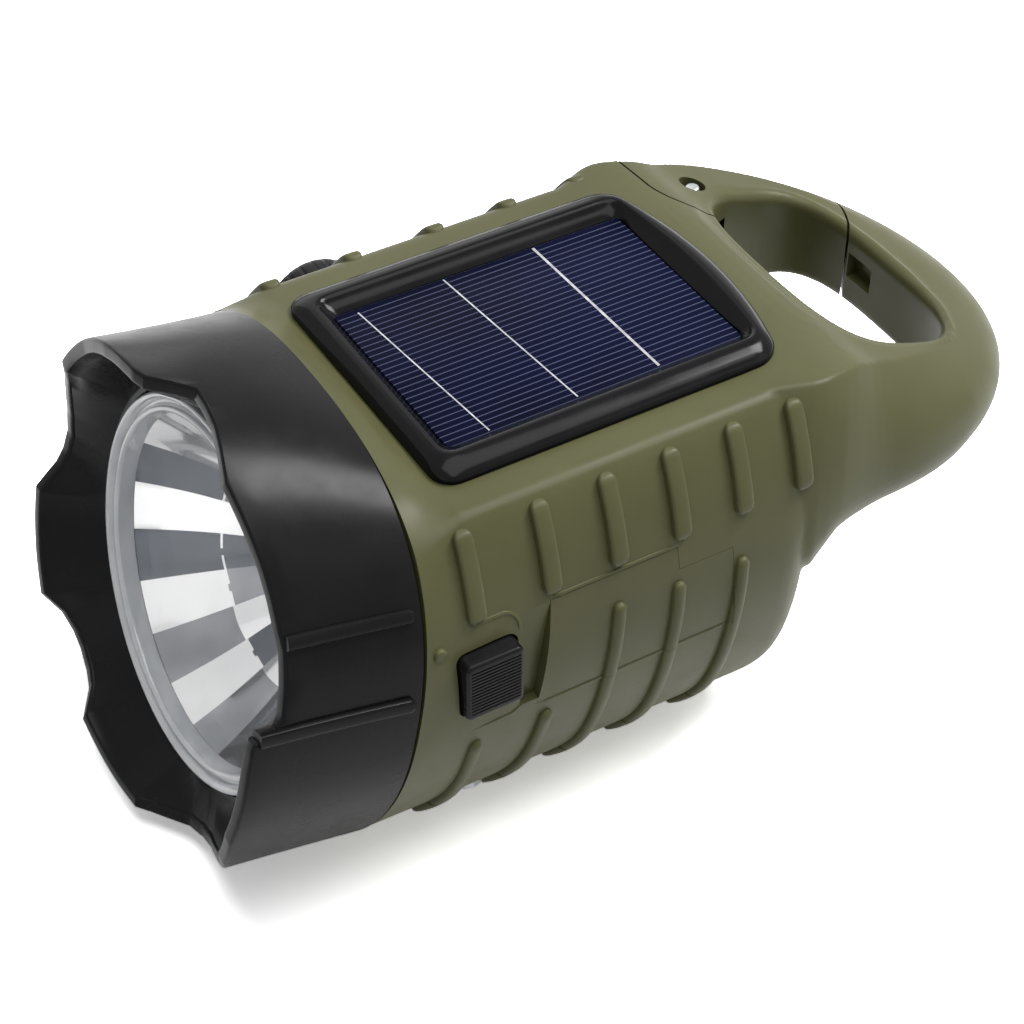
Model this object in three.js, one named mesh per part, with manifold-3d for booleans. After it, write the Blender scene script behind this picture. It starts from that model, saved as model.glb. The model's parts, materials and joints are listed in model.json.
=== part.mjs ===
// A hand crank flashlight: a round body with a solar panel on top, a scalloped bezel and deep reflector
// at the front, a crank on the far side and a snap loop as its tail.
// Lengths are in millimetres. X runs from the beam to the tail, -Y is the side with the button, +Z is up.
// The body's own frame has its origin at the middle of the lens. The whole stands on Z = 0.
import * as THREE from 'three';
import { mergeVertices } from 'three/addons/utils/BufferGeometryUtils.js';
import Module from 'manifold-3d';

const wasm = await Module();
wasm.setup();

// Clearances and shared values
const gap = 0.3; // between two pieces that touch on the real object
const seamGap = 0.3; // between two halves that close on each other
const touch = 0.1; // between flat faces that rest on each other
const overrun = 2; // how far a cutter runs past what it cuts
const bite = 0.6; // how deep a rib or boss is rooted in its wall
const weld = 0.0003; // points closer than this are one point
const quarterTurn = 90;
const halfTurn = 180;
const fullTurn = 360;
const headPitch = THREE.MathUtils.degToRad(11); // the beam looks up by this angle

// The barrel, whose radius the shell and the crown share
const barrel = { radius: 31.2, footDrop: 1.8 };
const lensAhead = 39; // from the middle of the underside to the lens
const lensHeight = barrel.radius + barrel.footDrop; // from the flat underside to the middle of the lens

// Shell
const shell = {
  wall: 2.2,
  lowerDrop: 2.6, // how far the lower arc hangs below the upper one, at the front
  lowerDropRear: 3.6,
  frontBlend: 22, // the round section starts here
  rearStart: 60, // the rear corners start to round here
  rear: 66.6,
  rearInset: 4.6,
  deckDrop: 10.6, // from the barrel's radius down to the flat deck under the solar panel
  deckFront: 21.8,
  rampFront: 16.6,
  rampRise: 5.1, // the deck climbs this much towards the crown
  deckWall: 2.4,
  frontWall: 2.4,
  rearWall: 2.4,
  panDepth: 11.5, // from the parting line of the bottom pan to the underside
};
const rearCornerShares = [[0, 0], [0.5, 0.1], [0.85, 0.45], [1, 1]]; // along the corner, and of its inset
const deckHeight = barrel.radius - shell.deckDrop;
const ceiling = deckHeight - shell.deckWall;
const seamHeight = shell.panDepth - lensHeight;

// Lens, seal and reflector, in the head's own frame
const lens = { front: -0.2, thick: 2, rimWidth: 2.6, rimRise: 0.8 };
const gasket = { width: 1.7, thick: 1 };
const reflector = { edge: 2.4, flangeThick: 1.1, depth: 14.2, hole: 4.3, wall: 1.2 };
const bowlShares = [1, 0.8, 0.6, 0.4]; // rows of the bowl, as shares of its mouth
const bowlBackShare = 0.33; // how far the bowl's wall leans out
const led = { base: 3, dome: 2.4, height: 1.4, faceShare: 0.6, shoulderShare: 0.8 };
const ledBoard = { radius: 8, thick: 1.5 };
const heatSink = { radius: 9, thick: 2.2, fins: 6, slot: 1.4 };

// Crown and its seat on the neck
const crown = {
  back: 11.4,
  sideRise: 0.4, // its back is wider than the barrel
  topDrop: 2.8, // and lower at the top
  rimWall: 1.7,
  rimEdge: 0.7,
  tipAhead: 9.2, // the rim's longest tip, ahead of the lens
  cupWall: 6.2, // from the rim's outside to the foot of the cup
  lensStep: 0.7, // from the foot of the cup to the lens's bore
  backWall: 1.9,
  ridgeWidth: 1.7,
  ridgeRise: 0.8,
  ridgeEnd: 0.8, // the ridges stop this far ahead of the crown's back
};
const outlinePower = 2.5;
// The crown's cut rim: how far round it, from the near side over the top, and how far ahead
const rimShares = [
  [0, 1], [0.0083, 0.995], [0.0222, 0.967], [0.0286, 0.935], [0.0339, 0.641], [0.0403, 0.576],
  [0.0583, 0.533], [0.0778, 0.505], [0.0889, 0.533], [0.1078, 0.549], [0.1244, 0.571],
  [0.1539, 0.636], [0.1756, 0.685], [0.1847, 0.641], [0.195, 0.587], [0.2131, 0.505],
  [0.2272, 0.478], [0.2408, 0.467], [0.2508, 0.696], [0.26, 0.946], [0.2694, 0.989],
  [0.2861, 0.978], [0.3, 0.957], [0.3139, 0.935], [0.3389, 0.87], [0.3611, 0.804],
  [0.3861, 0.772], [0.4083, 0.75], [0.4278, 0.609], [0.4472, 0.5], [0.4667, 0.402],
  [0.4861, 0.342], [0.5, 0.38], [0.5097, 0.467], [0.525, 0.75], [0.5472, 0.783],
  [0.5708, 0.81], [0.5972, 0.826], [0.6119, 0.587], [0.625, 0.489], [0.6375, 0.451],
  [0.6528, 0.457], [0.6639, 0.5], [0.6833, 0.734], [0.7028, 0.707], [0.7222, 0.685],
  [0.7494, 0.641], [0.7569, 0.63], [0.7653, 0.478], [0.7767, 0.315], [0.7889, 0.163],
  [0.8056, 0.141], [0.8222, 0.196], [0.8417, 0.326], [0.8639, 0.478], [0.8889, 0.674],
  [0.9139, 0.859], [0.9306, 0.924], [0.9472, 0.989], [0.9722, 1], [1, 1],
];
const ridgeAngles = [11.5, 30];
const crownHalf = barrel.radius + crown.sideRise;
const crownTop = barrel.radius - crown.topDrop;
const cupRadius = barrel.radius - crown.cupWall;
const lensBore = cupRadius - crown.lensStep;
const neckBore = crownTop - crown.backWall;
const lensRadius = lensBore - gap;
const boreDepth = lens.front + lens.thick + gasket.thick + 2 * gap;

const neck = { wall: 3, grooveDepth: 1.2, grooveAt: 2.5, grooveWidth: 1.8 };
const neckRadius = neckBore - gap;
const neckFront = boreDepth + reflector.flangeThick + 2 * gap;
const grooveFront = neckFront + neck.grooveAt;
const grooveRadius = neckRadius - neck.grooveDepth;

// Ribs on the shell: the ahead values say how far the lower end stands ahead of the upper one
const rib = { width: 2.3, rise: 1, topShare: 0.55, upperAhead: 0.9, lowerAhead: 3 };
const ribRings = 5;
const upperRibShares = [0.318, 0.462, 0.593, 0.719, 0.847, 0.971]; // upper ends, along the shell to its rear
const lowerRibShares = [0.294, 0.434, 0.572, 0.692, 0.823];
const farRibShares = [0.344, 0.511, 0.682, 0.838, 0.998];
const ribSpans = { upper: [141.5, 160.5], lower: [191, 228], lowerHigh: [169, 228], far: [12, 42] };

// Tail loop
const loop = {
  centre: 88.5,
  outerCentre: 78, outerReach: 30, sideDrop: 1.9, outerPower: 2.2,
  rootFront: 58, rootDrop: 4.2, rootPower: 0.45,
  holeCentre: 88.1, holeReach: 9.4, armWidth: 12, holePower: 3.2,
  outerRound: 7.5, gateRound: 4, // the outer top edge, on the near side and on the gate's
  innerRound: 1.6, underRound: 3, holeUnderRound: 1.4, roundShare: 0.94,
  fallStart: 70, // the top of the tail falls away from here
  fall: 11.6, // and is this much lower at the tip
  thick: 21.6, // from the deck to the underside of the tail
  tipThick: 8,
};
const fallShares = [ // along the tail, and of its fall
  [0, 0], [0.132, 0.095], [0.237, 0.267], [0.395, 0.44],
  [0.526, 0.612], [0.658, 0.741], [0.789, 0.845], [1, 1],
];
const tailEnd = loop.outerCentre + loop.outerReach;
const loopHalf = barrel.radius - loop.sideDrop;
const rootHalf = barrel.radius - loop.rootDrop;
const holeHalf = loopHalf - loop.armWidth;
const tailFoot = deckHeight - loop.thick;
const tipTop = deckHeight - loop.fall;

// Snap gate on the far side of the loop. Its two ends are arcs about the pin, in degrees.
const gate = {
  pinX: 81, pinIn: 9.5, pinRadius: 1, pinSunk: 0.2, pinFoot: 1.7,
  frontRadius: 7.5, frontArc: [180, 264], frontSteps: 10,
  noseRadius: 20.4, noseArc: [320, 372], noseSteps: 8,
  shoulderAhead: 7.9, shoulderOut: 4.7,
  swing: 22, // degrees that it opens by
  tongueFoot: 6, tongueThick: 4, tongueRadius: 4.2, neckWidth: 4, springRoom: 2.6,
};
const gateSpring = { radius: 2.6, wire: 0.4, turns: 2, stepsPerTurn: 10, sides: 6 };
const pinY = loopHalf - gate.pinIn;
const shoulderX = gate.pinX - gate.shoulderAhead;
const tongueBottom = tailFoot + gate.tongueFoot;
const tongueTop = tongueBottom + gate.tongueThick;
const pinFoot = tailFoot + gate.pinFoot;

// The window in the hook's inner wall that the gate snaps into
const latch = { depth: 1.4, side: 6.8, width: 4.7, foot: 5.3, height: 3.8 };

// Solar panel
const panel = {
  front: 22, rear: 67, rearBulge: 3.6, half: 19, corner: 2.6, bevel: 2.2, rise: 2,
  frontWidth: 4, rearWidth: 1.6, sideWidth: 5.4, // of the frame round the cell
  cellThick: 0.7, cellRise: 0.5, trayThick: 0.6, wireHole: 1.3, wireX: 60,
};
const bulgeShares = [[-0.75, 0.4], [0, 1], [0.75, 0.4]]; // across the frame, and of the bulge
const bevelShares = { inset: 0.3, rise: 0.4 };
const cellFront = panel.front + panel.frontWidth;
const cellRear = panel.rear - panel.rearWidth;
const cellHalf = panel.half - panel.sideWidth;
const cellTop = deckHeight + panel.cellRise;

// Button, switch and circuit board on the near side
const button = {
  front: 17.3, rear: 24.7, bottom: -1.2, top: 7.2, proud: 1.4, depth: 5.5, flange: 1, flangeThick: 1,
  travel: 1, grooves: 6, grooveDepth: 0.4, grooveShare: 0.45,
};
const pad = { front: 24.5, rear: 55.5, bottom: -7, top: 11, depth: 5.4 }; // thick wall behind the cover
const coverPlate = {
  frontTop: 29.6, frontBottom: 27.4, step: 46.3, rear: 53.6,
  top: 9.4, stepTop: 6.6, bottom: -4.8, thick: 1.6,
};
const notch = { front: 25.8, frontBottom: 24.3, bottom: -3.5, depth: 3 };
const jack = { front: 36.5, rear: 43.5, bottom: -0.2, top: 4.6, portHalf: 3, portRise: 1.4, portZ: 2.1 };
const board = { front: 17, rear: 52, bottom: -9, top: 10, depth: 11.8, thick: 1.4, postRadius: 2 };
const boardPostShares = [[0.4, 0.84], [0.914, 0.21]]; // along and up the board
const dot = { x: 15.3, z: 8.6, radius: 0.8, rise: 0.5 };
const switchBody = { half: 3, plunger: 1.6, plungerReach: 2.5 };
const buttonFace = barrel.radius + button.proud;
const buttonBack = buttonFace - button.depth;
const padBack = barrel.radius - pad.depth;
const notchFloor = barrel.radius - notch.depth;
const boardFace = barrel.radius - board.depth;

// Crank, gear train and generator, on axes along Y
const crank = {
  x: 55, z: 1, throw: 18.7,
  bossRadius: 8, bossDepth: 5, bushWall: 1.9, flangeWidth: 1.7, flangeThick: 0.7,
  shaftRadius: 2.5, shaftPast: 1,
  armThick: 2.5, armHub: 6, armTip: 4.2,
  screwHead: 3.4, screwThick: 1.3, screwShank: 1, screwReach: 7,
  clipWidth: 1.9, clipThick: 0.8,
  knobRadius: 6.8, knobTall: 6.6, knobRound: 1.6, knobRoundShare: 0.3, pinRadius: 1.6, pinHead: 2.8,
  flutes: 12, fluteRadius: 0.6,
};
const gears = {
  thick: 3, toothDepth: 1, crankTip: 8, crankTeeth: 24, pinionTip: 2.8, pinionTeeth: 9,
  wheelTip: 7, wheelTeeth: 22, rotorTip: 2.4, rotorTeeth: 8, axleRadius: 1.2, bossRadius: 3, bossDepth: 5.8,
  idlerTurn: THREE.MathUtils.degToRad(190), rotorTurn: THREE.MathUtils.degToRad(165),
};
const toothShares = [[0, 0], [1, 0.2], [1, 0.45], [0, 0.65]]; // of the tooth's height, and of its pitch
const plate = {
  depth: 16.6, thick: 1.6, front: 26, rear: 62, bottom: -14, headroom: 4.7, round: 4, postRadius: 2.6,
};
const platePostShares = [[0.583, 0.887], [0.906, 0.109], [0.111, 0.109]]; // along and up the plate
const generator = { radius: 9.5, wall: 0.8, tall: 10.6, rotor: 5.1, airGap: 0.5 };
const screw = { head: 2.2, headThick: 1.2, shank: 1.1, reach: 7 };
const bossFace = barrel.radius;
const bossBack = bossFace - crank.bossDepth;
const bushBore = crank.shaftRadius + gap;
const bushRadius = bushBore + crank.bushWall;
const idlerBossBack = barrel.radius - gears.bossDepth;
const plateBack = barrel.radius - plate.depth;
const plateTop = ceiling - plate.headroom;
const casingBack = plateBack - generator.tall;
const platePosts = platePostShares.map(([along, up]) => ({
  x: THREE.MathUtils.lerp(plate.front, plate.rear, along),
  z: THREE.MathUtils.lerp(plate.bottom, plateTop, up),
}));
const boardPosts = boardPostShares.map(([along, up]) => ({
  x: THREE.MathUtils.lerp(board.front, board.rear, along),
  z: THREE.MathUtils.lerp(board.bottom, board.top, up),
}));
const layerInner = plateBack + plate.thick + 4 * gap; // idler wheel and rotor pinion
const layerOuter = layerInner + gears.thick + 2 * gap; // crank gear and idler pinion
const rotorShaft = gears.axleRadius - gap / 2;
const armBack = bossFace + crank.flangeThick + 2 * gap;
const armFront = armBack + crank.armThick;
const hexRadius = crank.shaftRadius - gap;
const knobX = crank.x - crank.throw;

// Battery and pan
const cell = { radius: 7.6, thick: 6, count: 3, front: 30.3, rest: 1 };
const contact = { half: 5, thick: 0.8, wall: 1.5, rise: 6 };
const saddle = { width: 4, half: 7, drop: 4 };
const panScrew = {
  front: 24, rear: 58, root: 2, post: 3.7, postRise: 11.5, seatRise: 8.6, reach: 12, mouth: 2.6,
};
const cellZ = shell.wall + cell.rest + cell.radius - lensHeight;
const saddleTop = cellZ - saddle.drop;
const panSeat = panScrew.seatRise - lensHeight;
const innerRadius = barrel.radius - shell.wall;
const panScrewY = Math.sqrt(innerRadius ** 2 - (seamHeight + shell.lowerDrop) ** 2) - panScrew.root;
const cellsEnd = cell.front + cell.count * cell.thick + (cell.count - 1) * gap;

const gearX = gears.crankTip + gears.pinionTip + gap;
const idler = {
  x: crank.x + gearX * Math.cos(gears.idlerTurn),
  z: crank.z + gearX * Math.sin(gears.idlerTurn),
};
const rotorSpan = gears.wheelTip + gears.rotorTip + gap;
const rotor = {
  x: idler.x + rotorSpan * Math.cos(gears.rotorTurn),
  z: idler.z + rotorSpan * Math.sin(gears.rotorTurn),
};

// Solids from geometry, and the cuts and joins between them
function solid(geometry) {
  const merged = mergeVertices(stripped(geometry), weld);
  return new wasm.Manifold(new wasm.Mesh({
    numProp: 3,
    vertProperties: new Float32Array(merged.attributes.position.array),
    triVerts: new Uint32Array(merged.index.array),
  }));
}

function geometryOf(body) {
  const mesh = body.getMesh();
  const geometry = new THREE.BufferGeometry();
  geometry.setAttribute('position', new THREE.BufferAttribute(new Float32Array(mesh.vertProperties), 3));
  geometry.setIndex(new THREE.BufferAttribute(new Uint32Array(mesh.triVerts), 1));
  return geometry;
}

const cut = (body, ...tools) => tools.reduce((left, tool) => left.subtract(tool), body);
const join = (body, ...more) => more.reduce((whole, next) => whole.add(next), body);
const common = (body, ...more) => more.reduce((shared, next) => shared.intersect(next), body);

// A closed skin over rings of points, all with the same count, with a flat cap at each end
function loft(rings) {
  const count = rings[0].length;
  const points = rings.flat();
  const faces = [];
  for (let ring = 0; ring + 1 < rings.length; ring += 1) {
    for (let step = 0; step < count; step += 1) {
      const next = (step + 1) % count;
      const [a, b] = [ring * count + step, ring * count + next];
      faces.push([a, b, b + count], [a, b + count, a + count]);
    }
  }
  const caps = [[rings[0], 0], [rings.at(-1), (rings.length - 1) * count]];
  caps.forEach(([ring, start], end) => {
    const middle = ring.reduce((sum, point) => sum.add(point), new THREE.Vector3()).divideScalar(count);
    points.push(middle);
    for (let step = 0; step < count; step += 1) {
      const [a, b] = [start + step, start + (step + 1) % count];
      faces.push(end === 0 ? [points.length - 1, b, a] : [points.length - 1, a, b]);
    }
  });
  return skin(points, faces);
}

// A closed band: each row is one closed profile, and the last row joins the first
function band(rows) {
  const count = rows[0].length;
  const faces = [];
  rows.forEach((row, index) => {
    const [here, there] = [index * count, ((index + 1) % rows.length) * count];
    for (let step = 0; step < count; step += 1) {
      const next = (step + 1) % count;
      faces.push([here + step, here + next, there + next], [here + step, there + next, there + step]);
    }
  });
  return skin(rows.flat(), faces);
}

// A skin whose faces point out, whichever way its points were listed
function skin(points, faces) {
  const volume = faces.reduce((sum, [a, b, c]) => (
    sum + points[a].dot(points[b].clone().cross(points[c]))), 0);
  const ordered = volume > 0 ? faces : faces.map(([a, b, c]) => [a, c, b]);
  const geometry = new THREE.BufferGeometry();
  geometry.setAttribute('position', new THREE.Float32BufferAttribute(points.flatMap((p) => p.toArray()), 3));
  geometry.setIndex(ordered.flat());
  return solid(geometry);
}

function block(x0, x1, y0, y1, z0, z1) {
  const box = new THREE.BoxGeometry(x1 - x0, y1 - y0, z1 - z0);
  box.translate((x0 + x1) / 2, (y0 + y1) / 2, (z0 + z1) / 2);
  return solid(box);
}

// Round bars between two places on an axis through the other two coordinates
function rodAlongY(radius, y0, y1, x, z, sides = 20) {
  const bar = new THREE.CylinderGeometry(radius, radius, y1 - y0, sides);
  bar.translate(x, (y0 + y1) / 2, z);
  return solid(bar);
}

function rodAlongZ(radius, z0, z1, x, y, sides = 20) {
  const bar = new THREE.CylinderGeometry(radius, radius, z1 - z0, sides);
  bar.rotateX(Math.PI / 2);
  bar.translate(x, y, (z0 + z1) / 2);
  return solid(bar);
}

// A profile of [distance along X, radius] turned about the X axis
function turned(profile, sides = 40) {
  const closes = profile[0][1] === 0 && profile.at(-1)[1] === 0;
  const outline = closes ? profile : [...profile, profile[0]];
  const points = outline.map(([along, radius]) => new THREE.Vector2(radius, along));
  const lathe = new THREE.LatheGeometry(points, sides);
  lathe.rotateZ(-Math.PI / 2);
  return outward(lathe);
}

// A body made from a geometry whose faces may point in
function outward(geometry) {
  const body = mergeVertices(stripped(geometry), weld);
  const index = [...body.index.array];
  const at = (i) => new THREE.Vector3().fromBufferAttribute(body.attributes.position, i);
  const faces = [];
  for (let i = 0; i < index.length; i += 3) {
    const [a, b, c] = [index[i], index[i + 1], index[i + 2]];
    if (a !== b && b !== c && c !== a) faces.push([a, b, c]);
  }
  const points = [...Array(body.attributes.position.count).keys()].map(at);
  return skin(points, faces);
}

function stripped(geometry) {
  const bare = geometry.clone();
  bare.deleteAttribute('normal');
  bare.deleteAttribute('uv');
  return bare;
}

// A flat outline of [x, z] pushed along Y
function slabAlongY(outline, y0, y1) {
  return solid(extruded(outline, y1 - y0).rotateX(Math.PI / 2).translate(0, y1, 0));
}

// A flat outline of [x, y] pushed along Z
function slabAlongZ(outline, z0, z1) {
  return solid(extruded(outline, z1 - z0).translate(0, 0, z0));
}

function extruded(outline, depth) {
  const shape = new THREE.Shape(outline.map(([x, y]) => new THREE.Vector2(x, y)));
  return new THREE.ExtrudeGeometry(shape, { depth, bevelEnabled: false });
}

const turnHead = (body) => solid(geometryOf(body).rotateY(headPitch));

// Points of a section, by turn from the +Y side over the top
const turnsIn = (count) => [...Array(count).keys()].map((step) => (step / count) * 2 * Math.PI);
const turns = turnsIn(40);
const rimTurns = rimShares.slice(1).reverse().map(([around]) => Math.PI * (1 - 2 * around));
const quarterSteps = [0, 45, 90];
const power = (value, exponent) => Math.sign(value) * Math.abs(value) ** exponent;

// The crown's outline at its back, which the shell's front repeats
function seamPoint(turn, x, inset = 0) {
  const above = Math.sin(turn) >= 0;
  const exponent = above ? 2 / outlinePower : 1;
  const y = (crownHalf - inset) * power(Math.cos(turn), exponent);
  const height = (above ? crownTop : barrel.radius) - inset;
  return new THREE.Vector3(x, y, height * power(Math.sin(turn), exponent));
}

// The round section of the shell, flat underneath
function shellPoint(turn, x, inset = 0) {
  const share = THREE.MathUtils.clamp((x - shell.frontBlend) / (shell.rear - shell.frontBlend), 0, 1);
  const drop = THREE.MathUtils.lerp(shell.lowerDrop, shell.lowerDropRear, share);
  const below = Math.min(1, Math.max(0, -Math.sin(turn)) * 2);
  const radius = barrel.radius - inset;
  const z = radius * Math.sin(turn) - drop * below;
  return new THREE.Vector3(x, radius * Math.cos(turn), Math.max(z, inset - lensHeight));
}

// The shell's round body, drawn in by an inset for its inside
function roundBody(inset, front, rear) {
  const headRing = turns.map((turn) => seamPoint(turn, front, inset)
    .applyAxisAngle(new THREE.Vector3(0, 1, 0), headPitch));
  const corner = shell.rear - shell.rearStart;
  const places = [[shell.frontBlend, 0],
    ...rearCornerShares.map(([along, share]) => [shell.rearStart + corner * along, share])];
  const reach = rear - shell.rear;
  const rings = places.map(([x, share]) => turns.map((turn) => (
    shellPoint(turn, x > shell.rearStart ? x + reach : x, inset + share * shell.rearInset))));
  return loft([headRing, ...rings]);
}

// Everything above the deck and the falling tail
function aboveDeck() {
  const sky = barrel.radius + overrun;
  const outline = [[shell.rampFront, deckHeight + shell.rampRise], [shell.deckFront, deckHeight],
    ...tailFall(), [tailEnd + overrun, tipTop], [tailEnd + overrun, sky], [shell.rampFront, sky]];
  return slabAlongY(outline, -sky, sky);
}

// The points along which the tail's top falls away
function tailFall() {
  return fallShares.map(([along, share]) => (
    [THREE.MathUtils.lerp(loop.fallStart, tailEnd, along), deckHeight - loop.fall * share]));
}

function tailTop(x) {
  return readRows([[shell.deckFront, deckHeight], ...tailFall()], x);
}

// A straight-line reading between the rows of a table, each row a place and its value
function readRows(rows, at) {
  const after = Math.max(1, rows.findIndex(([place]) => place >= at));
  const [[from, start], [to, end]] = [rows[after - 1], rows[after]];
  return THREE.MathUtils.mapLinear(at, from, to, start, end);
}

function tailUnder(x) {
  const share = THREE.MathUtils.clamp((x - loop.centre) / (tailEnd - loop.centre), 0, 1);
  return THREE.MathUtils.lerp(tailFoot, tipTop - loop.tipThick, share);
}

// The loop: one section for each direction round the opening
function loopRing() {
  const rows = turns.map((turn) => {
    const [dx, dy] = [Math.cos(turn), Math.sin(turn)];
    const inner = reachTo(dx, dy, (x, y) => overEllipse(
      x - loop.holeCentre, y, loop.holeReach, holeHalf, loop.holePower));
    const outer = reachTo(dx, dy, outsideLoop);
    return ringSection(dx, dy, inner, outer);
  });
  return band(rows);
}

const overEllipse = (x, y, reach, half, exponent) => (
  Math.abs(x / reach) ** exponent + Math.abs(y / half) ** exponent > 1);

function outsideLoop(x, y) {
  if (x > loop.outerCentre) {
    return overEllipse(x - loop.outerCentre, y, loop.outerReach, loopHalf, loop.outerPower);
  }
  const share = (x - loop.rootFront) / (loop.outerCentre - loop.rootFront);
  if (x < loop.rootFront) return true;
  return Math.abs(y) > THREE.MathUtils.lerp(rootHalf, loopHalf, share ** loop.rootPower);
}

// How far a ray from the loop's centre goes before it meets a boundary
function reachTo(dx, dy, isPast) {
  let [near, far] = [0, 2 * loop.outerReach];
  for (let halving = 0; halving < 24; halving += 1) {
    const middle = (near + far) / 2;
    if (isPast(loop.centre + dx * middle, dy * middle)) far = middle;
    else near = middle;
  }
  return near;
}

function ringSection(dx, dy, inner, outer) {
  const arc = quarterSteps.map(THREE.MathUtils.degToRad);
  const at = (distance, edge) => {
    const [x, y] = [loop.centre + dx * distance, dy * distance];
    return new THREE.Vector3(x, y, edge(x));
  };
  const edge = loop.centre + dx * outer;
  const room = tailTop(edge) - tailUnder(edge);
  const topRound = THREE.MathUtils.lerp(loop.outerRound, loop.gateRound, Math.max(0, dy));
  const fit = Math.min(1, (room * loop.roundShare) / (topRound + loop.underRound));
  const corner = (from, side, radius, level, up) => arc.map((turn) => {
    const point = at(from - side * radius * (1 - Math.sin(turn)), level);
    return point.setZ(point.z - up * radius * (1 - Math.cos(turn)));
  });
  return [
    ...corner(outer, 1, topRound * fit, tailTop, 1),
    ...corner(outer, 1, loop.underRound * fit, tailUnder, -1).reverse(),
    ...corner(inner, -1, loop.holeUnderRound, tailUnder, -1),
    ...corner(inner, -1, loop.innerRound, tailTop, 1).reverse(),
  ];
}

// A rib that follows the shell round its section, fading out at both ends
function shellRib(topX, ahead, [from, to]) {
  const rings = [...Array(ribRings).keys()].map((step) => {
    const share = step / (ribRings - 1);
    const turn = THREE.MathUtils.degToRad(from + (to - from) * share);
    const x = topX - ahead * share;
    const foot = shellPoint(turn, x, bite);
    const atEnd = step === 0 || step === ribRings - 1;
    const crest = shellPoint(turn, x, atEnd ? bite / 2 : -rib.rise);
    const half = rib.width / 2;
    return [[foot, -half], [foot, half], [crest, half * rib.topShare], [crest, -half * rib.topShare]]
      .map(([point, shift]) => new THREE.Vector3(point.x + shift, point.y, point.z));
  });
  return loft(rings);
}

const ribsAt = (shares, ahead, span) => shares.map((share) => shellRib(share * shell.rear, ahead, span));
const shellRibs = [
  ...ribsAt(upperRibShares, rib.upperAhead, ribSpans.upper),
  ...ribsAt(lowerRibShares.slice(0, 2), rib.lowerAhead, ribSpans.lower),
  ...ribsAt(lowerRibShares.slice(2), rib.lowerAhead, ribSpans.lowerHigh),
  ...ribsAt(farRibShares, rib.lowerAhead, ribSpans.far),
];

// The cover's outline seen from the near side, grown by a clearance
function coverOutline(grow) {
  const c = coverPlate;
  return [[c.frontBottom - grow, c.bottom - grow], [c.rear + grow, c.bottom - grow],
    [c.rear + grow, c.stepTop + grow], [c.step + grow, c.stepTop + grow], [c.step + grow, c.top + grow],
    [c.frontTop - grow, c.top + grow]];
}

const pastLoop = loopHalf + 2 * overrun;
const nearReach = barrel.radius + overrun;
const seamBack = crown.back + gap;
const outerRound = roundBody(0, seamBack, shell.rear);
const outerBody = cut(join(outerRound, loopRing(), ...shellRibs), aboveDeck());
const coverDepth = roundBody(coverPlate.thick, seamBack, shell.rear);
const coverFloor = roundBody(coverPlate.thick + gap, seamBack, shell.rear);

function neckTube() {
  const bore = neckRadius - neck.wall;
  const back = seamBack + shell.frontWall;
  const grooveBack = grooveFront + neck.grooveWidth;
  return turnHead(turned([[neckFront, bore], [neckFront, neckRadius], [grooveFront, neckRadius],
    [grooveFront, grooveRadius], [grooveBack, grooveRadius], [grooveBack, neckRadius], [back, neckRadius],
    [back, bore]]));
}

function cavity() {
  const hollow = roundBody(shell.wall, seamBack + shell.frontWall, shell.rear - shell.rearWall);
  const roof = block(0, tailEnd, -nearReach, nearReach, ceiling, nearReach);
  const bore = neckRadius - neck.wall;
  const bored = turnHead(turned([[0, 0], [0, bore], [shell.frontBlend, bore], [shell.frontBlend, 0]]));
  return join(cut(hollow, roof), cut(bored, roof));
}

// Inner bosses, posts and the thick wall behind the cover
function innerFittings() {
  const c = crank;
  const padWall = block(pad.front, pad.rear, -nearReach, -padBack, pad.bottom, pad.top);
  const plateFront = plateBack + plate.thick + gap;
  const fittings = [
    padWall,
    rodAlongY(c.bossRadius, bossBack, bossFace, c.x, c.z),
    rodAlongY(gears.bossRadius, idlerBossBack, bossFace - shell.wall, idler.x, idler.z),
    ...platePosts.map(({ x, z }) => rodAlongY(plate.postRadius, plateFront, bossFace, x, z)),
    ...boardPosts.map(({ x, z }) => rodAlongY(board.postRadius, -padBack - bite, -boardFace - gap, x, z)),
    ...panScrewPlaces().map(([x, y]) => (
      rodAlongZ(panScrew.post, seamHeight, seamHeight + panScrew.postRise, x, y))),
  ];
  return common(join(...fittings), coverDepth);
}

function panScrewPlaces() {
  return [panScrew.front, panScrew.rear].flatMap((x) => [[x, -panScrewY], [x, panScrewY]]);
}

// The gate seen from above, grown by a clearance
function gatePlan(grow) {
  const g = gate;
  const arcPoints = (radius, [from, to], count) => [...Array(count).keys()].map((step) => {
    const turn = THREE.MathUtils.degToRad(THREE.MathUtils.lerp(from, to, step / (count - 1)));
    return [g.pinX + radius * Math.cos(turn), pinY + radius * Math.sin(turn)];
  });
  return [
    [shoulderX - grow, pastLoop], [shoulderX - grow, pinY + g.shoulderOut],
    ...arcPoints(g.frontRadius + grow, g.frontArc, g.frontSteps),
    ...arcPoints(g.noseRadius + grow, g.noseArc, g.noseSteps),
    [g.pinX + g.noseRadius + overrun, pastLoop],
  ];
}

// The tongue of the shell that the gate forks round
function gateTongue() {
  const g = gate;
  const half = g.neckWidth / 2;
  return join(rodAlongZ(g.tongueRadius, tongueBottom, tongueTop, g.pinX, pinY),
    block(shoulderX - overrun, g.pinX, pinY - half, pinY + half, tongueBottom, tongueTop));
}

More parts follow.
